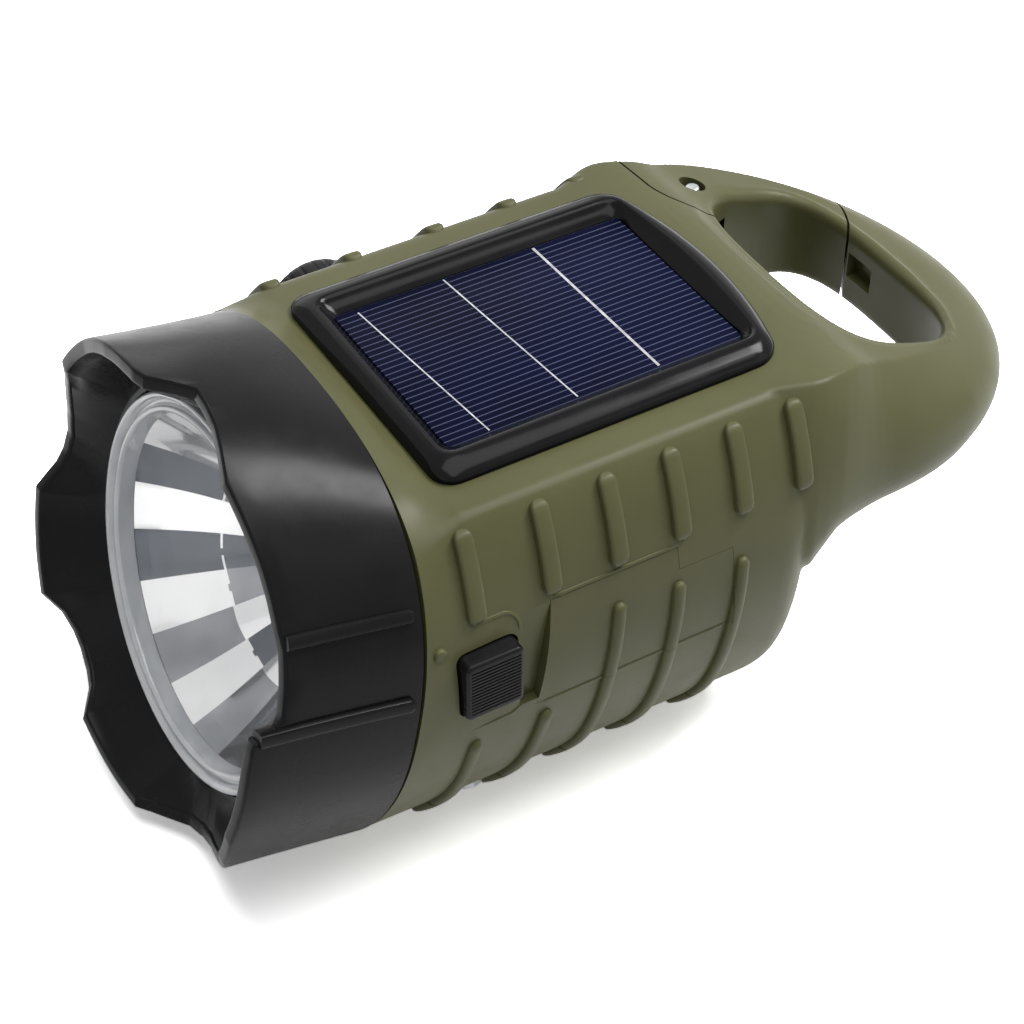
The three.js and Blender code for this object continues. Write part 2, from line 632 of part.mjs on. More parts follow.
function mainShell() {
  const low = block(-nearReach, tailEnd, -nearReach, nearReach, -2 * nearReach, seamHeight + seamGap / 2);
  const gateRoom = slabAlongZ(gatePlan(gap), -pastLoop, pastLoop);
  const b = button;
  const round = panel.trayThick + 2 * gap;
  const panelPocket = block(cellFront - round, cellRear + round, -cellHalf - round, cellHalf + round,
    cellTop - panel.cellThick - round, barrel.radius);
  const buttonHole = block(b.front - gap, b.rear + gap, -nearReach, -buttonBack,
    b.bottom - gap, b.top + gap);
  const margin = b.flange + gap;
  const flangeRoom = block(b.front - margin, b.rear + margin, -buttonBack - b.flangeThick - gap, -boardFace,
    b.bottom - margin, b.top + margin);
  const coverRoom = cut(slabAlongY(coverOutline(gap), -nearReach, -padBack), coverFloor);
  const notchRoom = slabAlongY([[notch.frontBottom, notch.bottom], [coverPlate.frontBottom, notch.bottom],
    [coverPlate.frontTop, coverPlate.top], [notch.front, coverPlate.top]], -nearReach, -notchFloor);
  const port = block(jack.front + gap, jack.rear - gap, -nearReach, -padBack + overrun,
    jack.portZ - jack.portRise - gap, jack.portZ + jack.portRise + gap);
  const wires = rodAlongZ(panel.wireHole, ceiling - overrun, deckHeight, panel.wireX, 0);
  const dotFoot = -Math.sqrt(barrel.radius ** 2 - dot.z ** 2);
  const dotBoss = rodAlongY(dot.radius, dotFoot - dot.rise, dotFoot + bite, dot.x, dot.z, 16);
  const holes = [
    rodAlongY(bushRadius + gap, bossBack - overrun, nearReach, crank.x, crank.z),
    rodAlongY(gears.axleRadius + gap, idlerBossBack - overrun, idlerBossBack + overrun, idler.x, idler.z),
    ...platePosts.map(({ x, z }) => (
      rodAlongY(screw.shank + gap, plateBack, plateBack + plate.thick + screw.reach, x, z, 10))),
    ...panScrewPlaces().map(([x, y]) => (
      rodAlongZ(screw.shank + gap, seamHeight - overrun, panSeat + panScrew.reach + gap, x, y, 10))),
    rodAlongZ(gate.pinRadius + gap, pinFoot - gap, tongueTop + overrun, gate.pinX, pinY, 16),
  ];
  const hollow = join(cut(outerBody, cavity()), innerFittings(), neckTube(), dotBoss);
  const opened = cut(hollow, low, gateRoom, panelPocket, wires, flangeRoom, buttonHole, coverRoom, notchRoom,
    port, latchRoom());
  const crankFlat = block(crank.x - crank.bossRadius, crank.x + crank.bossRadius, bossFace, nearReach,
    crank.z - crank.bossRadius, crank.z + crank.bossRadius);
  return cut(join(opened, gateTongue()), crankFlat, ...holes);
}

function latchRoom() {
  const wallX = loop.holeCentre + loop.holeReach;
  const foot = tailFoot + latch.foot;
  return block(wallX - overrun, wallX + latch.depth, latch.side - latch.width, latch.side,
    foot, foot + latch.height);
}

function bottomPan() {
  const high = block(-nearReach, tailEnd, -nearReach, nearReach, seamHeight - seamGap / 2, 2 * nearReach);
  const floor = shell.wall / 2 - lensHeight;
  const cellBed = turned([[0, 0], [0, cell.radius + gap], [shell.rear, cell.radius + gap], [shell.rear, 0]]);
  const bed = solid(geometryOf(cellBed).translate(0, 0, cellZ));
  const bedAt = (x) => cut(block(x, x + saddle.width, -saddle.half, saddle.half, floor, saddleTop), bed);
  const wallAt = (x) => block(x, x + contact.wall, -contact.half, contact.half, floor, saddleTop);
  const shoe = contact.thick + 2 * gap;
  const fittings = [
    bedAt(cell.front + gap), bedAt(cellsEnd - gap - saddle.width),
    wallAt(cell.front - shoe - contact.wall), wallAt(cellsEnd + shoe),
    ...panScrewPlaces().map(([x, y]) => (
      rodAlongZ(panScrew.post, -lensHeight, seamHeight - seamGap / 2, x, y))),
  ];
  const holes = panScrewPlaces().flatMap(([x, y]) => [
    rodAlongZ(screw.shank + gap, -lensHeight - overrun, seamHeight + overrun, x, y, 10),
    rodAlongZ(panScrew.mouth, -lensHeight - overrun, panSeat, x, y, 12),
  ]);
  const hollow = join(cut(outerBody, cavity()), common(join(...fittings), outerRound));
  return cut(hollow, high, ...holes);
}

function sideCover() {
  const c = coverPlate;
  const plug = block(jack.front + 2 * gap, jack.rear - 2 * gap, bite - barrel.radius, -padBack - gap,
    jack.portZ - jack.portRise, jack.portZ + jack.portRise);
  const plateBody = cut(common(outerBody, slabAlongY(coverOutline(0), -nearReach, -padBack)), coverDepth);
  const grip = slabAlongY([[c.frontBottom, notch.bottom], [c.frontBottom + bite, notch.bottom],
    [c.frontTop + bite, c.top], [c.frontTop, c.top]], -nearReach, -notchFloor);
  return cut(join(plateBody, common(plug, outerRound)), grip);
}

function bezelCrown() {
  const c = crown;
  const rows = rimTurns.map((turn) => {
    const front = -rimAhead((1 - turn / Math.PI) / 2);
    const outer = (x) => {
      const share = THREE.MathUtils.clamp((x + c.tipAhead) / (c.back + c.tipAhead), 0, 1);
      const round = new THREE.Vector3(x, barrel.radius * Math.cos(turn), barrel.radius * Math.sin(turn));
      return round.lerp(seamPoint(turn, x), share * share);
    };
    const ring = (x, radius) => new THREE.Vector3(x, radius * Math.cos(turn), radius * Math.sin(turn));
    return [outer(c.back), outer((c.back + front) / 2), outer(front + c.rimEdge),
      ring(front, barrel.radius - c.rimEdge), ring(front, barrel.radius - c.rimWall), ring(0, cupRadius),
      ring(0, lensBore), ring(boreDepth, lensBore), ring(boreDepth, neckBore), ring(c.back, neckBore)];
  });
  return join(band(rows), ...ridgeAngles.map(crownRidge));
}

// How far the rim stands ahead of the lens, at a share of the way round it
function rimAhead(around) {
  return crown.tipAhead * readRows(rimShares, around);
}

function crownRidge(degrees) {
  const turn = THREE.MathUtils.degToRad(halfTurn - degrees);
  const across = new THREE.Vector3(0, -Math.sin(turn), Math.cos(turn));
  const front = -rimAhead(degrees / fullTurn) + crown.rimEdge;
  const rings = [front, crown.back - crown.ridgeEnd].map((x) => {
    const share = THREE.MathUtils.clamp((x + crown.tipAhead) / (crown.back + crown.tipAhead), 0, 1);
    const radius = THREE.MathUtils.lerp(barrel.radius, seamPoint(turn, 0).length(), share * share);
    const half = crown.ridgeWidth / 2;
    const levels = [[radius - bite, -half], [radius - bite, half],
      [radius + crown.ridgeRise, half * rib.topShare], [radius + crown.ridgeRise, -half * rib.topShare]];
    return levels.map(([level, shift]) => new THREE.Vector3(
      x, level * Math.cos(turn) + across.y * shift, level * Math.sin(turn) + across.z * shift));
  });
  return loft(rings);
}

function frontLens() {
  const l = lens;
  const back = l.front + l.thick;
  const inner = lensRadius - l.rimWidth;
  return turned([[l.front, 0], [l.front, inner], [l.front - l.rimRise, inner + l.rimRise],
    [l.front - l.rimRise, lensRadius - l.rimRise], [l.front, lensRadius], [back, lensRadius], [back, 0]]);
}

function lensGasket() {
  const front = lens.front + lens.thick + gap;
  const back = front + gasket.thick;
  const inner = lensRadius - gasket.width;
  return turned([[front, inner], [front, lensRadius], [back, lensRadius], [back, inner]]);
}

const mirrorFront = boreDepth + gap;
const mirrorBack = mirrorFront + reflector.depth;
const mouth = lensRadius - reflector.edge;
const bowlX = (radius) => mirrorBack - reflector.depth * (radius / mouth) ** 2;

function reflectorBowl() {
  const r = reflector;
  const radii = bowlShares.map((share) => mouth * share).concat(r.hole);
  const inside = radii.map((radius) => [bowlX(radius), radius]);
  const outside = radii.toReversed().map((radius) => (
    [bowlX(radius) + r.wall, radius + r.wall * bowlBackShare]));
  outside[outside.length - 1] = [mirrorFront + r.flangeThick, mouth + r.wall];
  return turned([...inside, [bowlX(r.hole) + r.wall, r.hole], ...outside,
    [mirrorFront + r.flangeThick, neckRadius], [mirrorFront, neckRadius]]);
}

const boardFront = mirrorBack + reflector.wall + gap;

function ledEmitter() {
  const back = boardFront - touch;
  const base = bowlX(reflector.hole);
  return turned([[base - led.height, 0], [base - led.height * led.shoulderShare, led.dome * led.faceShare],
    [base, led.dome], [base, led.base], [back, led.base], [back, 0]], 24);
}

function ledDisc() {
  const back = boardFront + ledBoard.thick;
  return turned([[boardFront, 0], [boardFront, ledBoard.radius], [back, ledBoard.radius], [back, 0]], 36);
}

function heatSinkBlock() {
  const front = boardFront + ledBoard.thick + gap;
  const back = front + heatSink.thick;
  const disc = turned([[front, 0], [front, heatSink.radius], [back, heatSink.radius], [back, 0]], 36);
  const pitch = (2 * heatSink.radius) / (heatSink.fins + 1);
  const slots = [...Array(heatSink.fins).keys()].map((fin) => {
    const y = -heatSink.radius + pitch * (fin + 1);
    return block(front + heatSink.thick / 2, back + overrun, y - heatSink.slot / 2, y + heatSink.slot / 2,
      -heatSink.radius - overrun, heatSink.radius + overrun);
  });
  return cut(disc, ...slots);
}

function neckRing() {
  const [front, back] = [grooveFront + gap, grooveFront + neck.grooveWidth - gap];
  const inner = grooveRadius + gap;
  return turned([[front, inner], [front, neckRadius], [back, neckRadius], [back, inner]]);
}

function panelOutline(inset) {
  const p = panel;
  const side = p.half - inset - p.corner;
  const arc = (cx, cy, from) => cornerArc(cx, cy, p.corner, from);
  const [front, rear] = [p.front + inset + p.corner, p.rear - inset - p.corner];
  const bulge = bulgeShares.map(([across, out]) => [p.rear - inset + p.rearBulge * out, across * side]);
  return [...arc(rear, -side, -quarterTurn), ...bulge, ...arc(rear, side, 0),
    ...arc(front, side, quarterTurn), ...arc(front, -side, halfTurn)];
}

// A quarter of a circle in steps, for a rounded corner
function cornerArc(x, y, radius, from) {
  return quarterSteps.map((turn) => {
    const angle = THREE.MathUtils.degToRad(from + turn);
    return [x + radius * Math.cos(angle), y + radius * Math.sin(angle)];
  });
}

function solarFrame() {
  const p = panel;
  const base = deckHeight + gap;
  const ring = (inset, z) => panelOutline(inset).map(([x, y]) => new THREE.Vector3(x, y, z));
  const top = base + p.rise;
  const rim = loft([ring(0, base), ring(p.bevel * bevelShares.inset, base + p.rise * bevelShares.rise),
    ring(p.bevel, top)]);
  const window = block(cellFront - gap, cellRear + gap, -cellHalf - gap, cellHalf + gap,
    cellTop - p.cellThick - gap, top + overrun);
  const edge = gap + p.trayThick;
  const trayFoot = cellTop - p.cellThick - edge;
  const tray = block(cellFront - edge, cellRear + edge, -cellHalf - edge, cellHalf + edge,
    trayFoot, base + bite);
  const wires = rodAlongZ(p.wireHole, trayFoot - overrun, top, p.wireX, 0);
  return cut(join(rim, tray), window, wires);
}

function solarCell() {
  return block(cellFront, cellRear, -cellHalf, cellHalf, cellTop - panel.cellThick, cellTop);
}

function snapGate() {
  const pinHole = rodAlongZ(gate.pinRadius + gap, pinFoot - gap, pastLoop, gate.pinX, pinY, 16);
  const body = common(outerBody, slabAlongZ(gatePlan(0), -pastLoop, pastLoop));
  return cut(body, gateForkRoom(), pinHole);
}

// The fork opens as wide as the tongue's neck needs while the gate swings
function gateForkRoom() {
  const g = gate;
  const [low, high] = [tongueBottom - gap, tongueTop + g.springRoom + gap];
  const half = g.neckWidth / 2 + gap;
  const reach = g.frontRadius + overrun;
  const swing = THREE.MathUtils.degToRad(g.swing);
  const swept = [g.pinX - reach * Math.cos(swing), pinY - reach * Math.sin(swing)];
  const below = [half * Math.sin(swing), -half * Math.cos(swing)];
  return join(rodAlongZ(g.tongueRadius + gap, low, high, g.pinX, pinY),
    slabAlongZ([[g.pinX, pinY + half], [g.pinX - reach, pinY + half],
      [swept[0] + below[0], swept[1] + below[1]], [g.pinX + below[0], pinY + below[1]]], low, high));
}

function gatePin() {
  return rodAlongZ(gate.pinRadius, pinFoot, tailTop(gate.pinX) - gate.pinSunk, gate.pinX, pinY, 16);
}

function springCoil() {
  const s = gateSpring;
  const rise = gate.springRoom - 2 * s.wire - gap;
  const foot = tongueTop + gap + s.wire;
  const total = s.turns * s.stepsPerTurn;
  const points = [...Array(total + 1).keys()].map((step) => {
    const turn = (step / s.stepsPerTurn) * 2 * Math.PI;
    return new THREE.Vector3(gate.pinX + s.radius * Math.cos(turn), pinY + s.radius * Math.sin(turn),
      foot + (rise * step) / total);
  });
  const wire = new THREE.Shape([...Array(s.sides).keys()].map((side) => {
    const turn = (side / s.sides) * 2 * Math.PI;
    return new THREE.Vector2(s.wire * Math.cos(turn), s.wire * Math.sin(turn));
  }));
  const extrudePath = new THREE.CatmullRomCurve3(points);
  return outward(new THREE.ExtrudeGeometry(wire, { steps: total, extrudePath }));
}

function powerButton() {
  const b = button;
  const cap = block(b.front, b.rear, -buttonFace, -buttonBack, b.bottom, b.top);
  const flange = block(b.front - b.flange, b.rear + b.flange, -buttonBack - b.flangeThick, -buttonBack,
    b.bottom - b.flange, b.top + b.flange);
  const pitch = (b.top - b.bottom) / b.grooves;
  const grooves = [...Array(b.grooves - 1).keys()].map((step) => {
    const z = b.bottom + pitch * (step + 1);
    const half = (pitch * b.grooveShare) / 2;
    return block(b.front - overrun, b.rear + overrun, -buttonFace - overrun, b.grooveDepth - buttonFace,
      z - half, z + half);
  });
  return cut(join(cap, flange), ...grooves);
}

function switchUnit() {
  const s = switchBody;
  const [x, z] = [(button.front + button.rear) / 2, (button.bottom + button.top) / 2];
  const plungerFace = buttonBack - button.travel - gap;
  const face = plungerFace - s.plungerReach;
  return join(block(x - s.half, x + s.half, -face, -boardFace - gap, z - s.half, z + s.half),
    rodAlongY(s.plunger, -plungerFace, bite - face, x, z, 20));
}

function circuitBoard() {
  return block(board.front, board.rear, -boardFace, board.thick - boardFace, board.bottom, board.top);
}

function chargingJack() {
  const j = jack;
  const body = block(j.front, j.rear, gap - padBack, -boardFace - gap, j.bottom, j.top);
  const middle = (j.front + j.rear) / 2;
  const port = block(middle - j.portHalf, middle + j.portHalf, -nearReach, -boardFace - shell.wall,
    j.portZ - j.portRise / 2, j.portZ + j.portRise / 2);
  return cut(body, port);
}

// A toothed wheel on an axis along Y
function toothed(tip, teeth, y0, y1, x, z, bore) {
  const root = tip - gears.toothDepth;
  const outline = [...Array(teeth).keys()].flatMap((tooth) => {
    const pitch = (2 * Math.PI) / teeth;
    return toothShares.map(([up, along]) => {
      const radius = THREE.MathUtils.lerp(root, tip, up);
      const turn = (tooth + along) * pitch;
      return [x + radius * Math.cos(turn), z + radius * Math.sin(turn)];
    });
  });
  const wheel = slabAlongY(outline, y0, y1);
  return bore > 0 ? cut(wheel, rodAlongY(bore, y0 - overrun, y1 + overrun, x, z, 20)) : wheel;
}

function crankGear() {
  return toothed(gears.crankTip, gears.crankTeeth, layerOuter, layerOuter + gears.thick,
    crank.x, crank.z, crank.shaftRadius + gap);
}

function idlerGear() {
  const wheel = toothed(gears.wheelTip, gears.wheelTeeth, layerInner, layerInner + gears.thick,
    idler.x, idler.z, 0);
  const pinion = toothed(gears.pinionTip, gears.pinionTeeth, layerInner + gears.thick - bite,
    layerOuter + gears.thick, idler.x, idler.z, 0);
  const bore = rodAlongY(gears.axleRadius + gap, layerInner - overrun, layerOuter + gears.thick + overrun,
    idler.x, idler.z, 20);
  return cut(join(wheel, pinion), bore);
}

function idlerAxle() {
  return rodAlongY(gears.axleRadius, plateBack - gap, idlerBossBack + overrun - gap, idler.x, idler.z, 20);
}

function rotorPinion() {
  return toothed(gears.rotorTip, gears.rotorTeeth, layerInner, layerInner + gears.thick, rotor.x, rotor.z,
    rotorShaft + gap);
}

function generatorRotor() {
  const g = generator;
  const magnet = rodAlongY(g.rotor, casingBack + g.wall + 2 * gap, plateBack - 3 * gap, rotor.x, rotor.z);
  const shaft = rodAlongY(rotorShaft, casingBack - g.wall, layerInner + gears.thick, rotor.x, rotor.z, 20);
  return join(magnet, shaft);
}

function statorCoil() {
  const g = generator;
  const [y0, y1] = [casingBack + g.wall + gap, plateBack - 2 * gap];
  return cut(rodAlongY(g.radius - g.wall - gap, y0, y1, rotor.x, rotor.z),
    rodAlongY(g.rotor + g.airGap, y0 - overrun, y1 + overrun, rotor.x, rotor.z));
}

function generatorCase() {
  const g = generator;
  const front = plateBack - gap;
  return cut(rodAlongY(g.radius, casingBack, front, rotor.x, rotor.z, 36),
    rodAlongY(g.radius - g.wall, casingBack + g.wall, front + overrun, rotor.x, rotor.z, 36),
    rodAlongY(gears.axleRadius + gap, casingBack - overrun, front, rotor.x, rotor.z, 20));
}

function gearPlate() {
  const p = plate;
  const arc = (x, z, from) => cornerArc(x, z, p.round, from);
  const [left, right] = [p.front + p.round, p.rear - p.round];
  const [low, high] = [p.bottom + p.round, plateTop - p.round];
  const outline = [...arc(right, low, -quarterTurn), ...arc(right, high, 0),
    ...arc(left, high, quarterTurn), ...arc(left, low, halfTurn)];
  const [y0, y1] = [plateBack - overrun, plateBack + p.thick + overrun];
  return cut(slabAlongY(outline, plateBack, plateBack + p.thick),
    rodAlongY(crank.shaftRadius + gap, y0, y1, crank.x, crank.z),
    rodAlongY(gears.axleRadius + gap, y0, y1, idler.x, idler.z, 20),
    rodAlongY(gears.axleRadius + gap, y0, y1, rotor.x, rotor.z, 20),
    ...platePosts.map(({ x, z }) => rodAlongY(screw.shank + gap, y0, y1, x, z, 10)));
}

function plateScrew({ x, z }) {
  const head = plateBack - gap;
  return join(rodAlongY(screw.head, head - screw.headThick, head, x, z, 12),
    rodAlongY(screw.shank, head - bite, plateBack + plate.thick + screw.reach - gap, x, z, 10));
}

function panScrewBody([x, y]) {
  const seat = panSeat - gap;
  return join(rodAlongZ(screw.head, seat - screw.headThick, seat, x, y, 12),
    rodAlongZ(screw.shank, seat - bite, panSeat + panScrew.reach, x, y, 10));
}

function crankBushing() {
  const c = crank;
  const face = bossFace + gap;
  return cut(join(rodAlongY(bushRadius, bossBack, face + bite, c.x, c.z),
    rodAlongY(bushRadius + c.flangeWidth, face, face + c.flangeThick, c.x, c.z)),
    rodAlongY(bushBore, bossBack - overrun, face + overrun, c.x, c.z));
}

function crankShaft() {
  const c = crank;
  const shaft = rodAlongY(c.shaftRadius, plateBack - c.shaftPast, armBack - gap, c.x, c.z);
  const hex = rodAlongY(hexRadius, armBack - gap - bite, armFront, c.x, c.z, 6);
  const bore = rodAlongY(c.screwShank + gap, armFront - c.screwReach, armFront + overrun, c.x, c.z, 16);
  return cut(join(shaft, hex), bore);
}

function shaftClip() {
  const c = crank;
  const y0 = layerOuter + gears.thick + gap;
  return cut(rodAlongY(c.shaftRadius + c.clipWidth, y0, y0 + c.clipThick, c.x, c.z),
    rodAlongY(c.shaftRadius + gap, y0 - overrun, y0 + c.clipThick + overrun, c.x, c.z));
}

function crankArm() {
  const c = crank;
  const arcPoints = (x, radius, from) => [...Array(9).keys()].map((step) => {
    const turn = THREE.MathUtils.degToRad(from + (halfTurn * step) / 8);
    return [x + radius * Math.cos(turn), c.z + radius * Math.sin(turn)];
  });
  const outline = [...arcPoints(c.x, c.armHub, -quarterTurn), ...arcPoints(knobX, c.armTip, quarterTurn)];
  return cut(slabAlongY(outline, armBack, armFront),
    rodAlongY(hexRadius + gap, armBack - overrun, armFront + overrun, c.x, c.z, 6),
    rodAlongY(c.pinRadius + gap, armBack - overrun, armFront + overrun, knobX, c.z, 16));
}

function crankScrew() {
  const c = crank;
  const seat = armFront + gap;
  return join(rodAlongY(c.screwHead, seat, seat + c.screwThick, c.x, c.z, 20),
    rodAlongY(c.screwShank, armFront - c.screwReach + gap, seat + bite, c.x, c.z, 16));
}

function knobPin() {
  const c = crank;
  const knobEnd = armFront + gap + c.knobTall;
  return join(rodAlongY(c.pinRadius, armBack, knobEnd - c.knobRound, knobX, c.z, 20),
    rodAlongY(c.pinHead, knobEnd - c.knobRound - gap, knobEnd - gap, knobX, c.z, 24));
}

function crankKnob() {
  const c = crank;
  const y0 = armFront + gap;
  const y1 = y0 + c.knobTall;
  const corner = c.knobRound * c.knobRoundShare;
  const lathe = new THREE.LatheGeometry([[0, y0], [c.knobRadius, y0], [c.knobRadius, y1 - c.knobRound],
    [c.knobRadius - corner, y1 - corner], [c.knobRadius - c.knobRound, y1], [0, y1]]
    .map(([radius, y]) => new THREE.Vector2(radius, y)), 24);
  lathe.translate(knobX, 0, c.z);
  const flutes = [...Array(c.flutes).keys()].map((step) => {
    const turn = (step / c.flutes) * 2 * Math.PI;
    return rodAlongY(c.fluteRadius, y0 - overrun, y1 - c.knobRound, knobX + c.knobRadius * Math.cos(turn),
      c.z + c.knobRadius * Math.sin(turn), 4);
  });
  return cut(outward(lathe), ...flutes,
    rodAlongY(c.pinRadius + gap, y0 - overrun, y1 + overrun, knobX, c.z, 20),
    rodAlongY(c.pinHead + gap, y1 - c.knobRound - 2 * gap, y1 + overrun, knobX, c.z, 24));
}

function batteryCell(index) {
  const front = cell.front + index * (cell.thick + gap);
  const back = front + cell.thick;
  const body = turned([[front, 0], [front, cell.radius - gap], [front + gap, cell.radius],
    [back - gap, cell.radius], [back, cell.radius - gap], [back, 0]], 20);
  return solid(geometryOf(body).translate(0, 0, cellZ));
}

function batteryContact(x) {
  const foot = shell.wall + gap - lensHeight;
  return block(x, x + contact.thick, -contact.half, contact.half, foot, cellZ + contact.rise);
}

// Finishes
const paint = (color, roughness, metalness = 0) => (
  new THREE.MeshStandardMaterial({ color, roughness, metalness }));
const finishes = {
  olive: () => paint('#62604b', 0.5),
  black: () => paint('#1c1c1d', 0.4),
  glossBlack: () => paint('#0d0d0f', 0.18),
  clear: () => paint('#dfe4e6', 0.08),
  mirror: () => paint('#d9dadc', 0.08, 1),
  steel: () => paint('#a9abad', 0.35, 1),
  brass: () => paint('#b99a52', 0.35, 1),
  copper: () => paint('#b06a3a', 0.4, 1),
  rubber: () => paint('#232323', 0.8),
  navy: () => paint('#101735', 0.2),
  white: () => paint('#e8e8e4', 0.5),
  green: () => paint('#1e5a34', 0.5),
};

const light = new THREE.Group();
light.position.set(-lensAhead, 0, lensHeight);
const head = new THREE.Group();
head.rotation.y = headPitch;
light.add(head);

function place(group, name, finish, body) {
  const mesh = new THREE.Mesh(geometryOf(body), finishes[finish]());
  mesh.name = name;
  group.add(mesh);
}

place(head, 'bezel_crown', 'black', bezelCrown());
place(head, 'front_lens', 'clear', frontLens());
place(head, 'lens_gasket', 'rubber', lensGasket());
place(head, 'reflector', 'mirror', reflectorBowl());
place(head, 'led_emitter', 'white', ledEmitter());
place(head, 'led_board', 'white', ledDisc());
place(head, 'heat_sink', 'steel', heatSinkBlock());
place(head, 'neck_ring', 'rubber', neckRing());

place(light, 'main_shell', 'olive', mainShell());
place(light, 'bottom_pan', 'olive', bottomPan());
place(light, 'side_cover', 'olive', sideCover());
place(light, 'solar_frame', 'glossBlack', solarFrame());
place(light, 'solar_cell', 'navy', solarCell());
place(light, 'power_button', 'black', powerButton());
place(light, 'switch_unit', 'black', switchUnit());
place(light, 'circuit_board', 'green', circuitBoard());
place(light, 'charging_jack', 'steel', chargingJack());

place(light, 'snap_gate', 'olive', snapGate());
place(light, 'gate_pin', 'steel', gatePin());
place(light, 'gate_spring', 'steel', springCoil());

place(light, 'crank_bushing', 'brass', crankBushing());
place(light, 'crank_shaft', 'steel', crankShaft());
place(light, 'shaft_clip', 'steel', shaftClip());
place(light, 'crank_gear', 'white', crankGear());
place(light, 'crank_arm', 'black', crankArm());
place(light, 'crank_screw', 'steel', crankScrew());
place(light, 'knob_pin', 'steel', knobPin());
place(light, 'crank_knob', 'black', crankKnob());
place(light, 'idler_gear', 'white', idlerGear());
place(light, 'idler_axle', 'steel', idlerAxle());
place(light, 'gear_plate', 'steel', gearPlate());
place(light, 'rotor_pinion', 'brass', rotorPinion());
place(light, 'generator_rotor', 'steel', generatorRotor());
place(light, 'stator_coil', 'copper', statorCoil());
place(light, 'generator_case', 'steel', generatorCase());
platePosts.forEach((post, index) => place(light, `plate_screw_${index + 1}`, 'steel', plateScrew(post)));
panScrewPlaces().forEach((spot, index) => (
  place(light, `bottom_screw_${index + 1}`, 'steel', panScrewBody(spot))));

for (let index = 0; index < cell.count; index += 1) {
  place(light, `battery_cell_${index + 1}`, 'green', batteryCell(index));
}
place(light, 'battery_contact_front', 'steel', batteryContact(cell.front - gap - contact.thick));
place(light, 'battery_contact_rear', 'steel', batteryContact(cellsEnd + gap));

export default light;
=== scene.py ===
# Dresses the crank light: smooth shells, scalloped bezel, faceted mirror, solar panel and small parts.
# Shapes are thought out in millimetres from the middle of the lens and placed by spot() and headSpot().
import json
import math
import random

import bpy
from mathutils import Matrix, Vector


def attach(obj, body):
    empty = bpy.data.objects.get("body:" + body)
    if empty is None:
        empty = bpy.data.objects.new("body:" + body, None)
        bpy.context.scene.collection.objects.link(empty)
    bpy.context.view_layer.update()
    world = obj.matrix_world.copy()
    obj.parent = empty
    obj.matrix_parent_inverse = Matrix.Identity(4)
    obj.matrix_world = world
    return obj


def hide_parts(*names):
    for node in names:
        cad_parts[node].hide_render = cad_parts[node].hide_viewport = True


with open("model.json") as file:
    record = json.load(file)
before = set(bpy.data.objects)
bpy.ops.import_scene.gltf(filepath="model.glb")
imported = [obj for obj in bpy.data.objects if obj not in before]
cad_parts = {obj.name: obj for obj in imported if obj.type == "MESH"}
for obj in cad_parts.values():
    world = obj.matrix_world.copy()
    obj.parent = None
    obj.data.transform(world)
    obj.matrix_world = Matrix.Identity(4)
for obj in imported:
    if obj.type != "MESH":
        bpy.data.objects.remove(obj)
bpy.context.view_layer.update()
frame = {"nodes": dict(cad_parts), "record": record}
random.seed(7)

mm = 0.001
body = {"lensAhead": 39, "lensHeight": 33, "headPitch": math.radians(11)}


def spot(x, y, z):
    return Vector(((x - body["lensAhead"]) * mm, y * mm, (z + body["lensHeight"]) * mm))


def headSpot(x, y, z):
    c, s = math.cos(body["headPitch"]), math.sin(body["headPitch"])
    return spot(x * c + z * s, y, z * c - x * s)


# Small sums used all over
def clamp(value, low=0.0, high=1.0):
    return max(low, min(high, value))


def mix(a, b, share):
    return a + (b - a) * share


def ease(share):
    share = clamp(share)
    return share * share * (3 - 2 * share)


def softMin(a, b, blend):
    near = max(blend - abs(a - b), 0) / blend
    return min(a, b) - near * near * blend / 4


def signedPower(value, exponent):
    return math.copysign(abs(value) ** exponent, value)


def readLine(knots, x):  # straight lines between [place, value] knots
    at = next((i for i in range(1, len(knots)) if knots[i][0] >= x), len(knots) - 1)
    (x0, y0), (x1, y1) = knots[at - 1], knots[at]
    return mix(y0, y1, clamp((x - x0) / (x1 - x0)))


def readCurve(knots, x):  # a smooth curve through them
    if x <= knots[0][0]:
        return knots[0][1]
    if x >= knots[-1][0]:
        return knots[-1][1]
    at = next(i for i in range(1, len(knots)) if knots[i][0] >= x)
    (x0, y0), (x1, y1) = knots[at - 1], knots[at]
    before = knots[at - 2] if at > 1 else (2 * x0 - x1, 2 * y0 - y1)
    after = knots[at + 1] if at + 1 < len(knots) else (2 * x1 - x0, 2 * y1 - y0)
    slope0 = (y1 - before[1]) / (x1 - before[0]) * (x1 - x0)
    slope1 = (after[1] - y0) / (after[0] - x0) * (x1 - x0)
    t = (x - x0) / (x1 - x0)
    return ((2 * t ** 3 - 3 * t ** 2 + 1) * y0 + (t ** 3 - 2 * t ** 2 + t) * slope0
            + (3 * t ** 2 - 2 * t ** 3) * y1 + (t ** 3 - t ** 2) * slope1)


# Modelling steps
def pickOnly(piece):
    bpy.ops.object.select_all(action="DESELECT")
    piece.select_set(True)
    bpy.context.view_layer.objects.active = piece


def settle(piece, name):  # the object at the origin, its place in the mesh
    pickOnly(piece)
    bpy.ops.object.transform_apply(location=True, rotation=True, scale=True)
    piece.name = name
    piece.data.name = name
    return piece


def tidySkin(piece, merge=1e-7):
    pickOnly(piece)
    bpy.ops.object.mode_set(mode="EDIT")
    bpy.ops.mesh.select_all(action="SELECT")
    bpy.ops.mesh.remove_doubles(threshold=merge)
    bpy.ops.mesh.normals_make_consistent(inside=False)
    bpy.ops.object.mode_set(mode="OBJECT")
    return piece


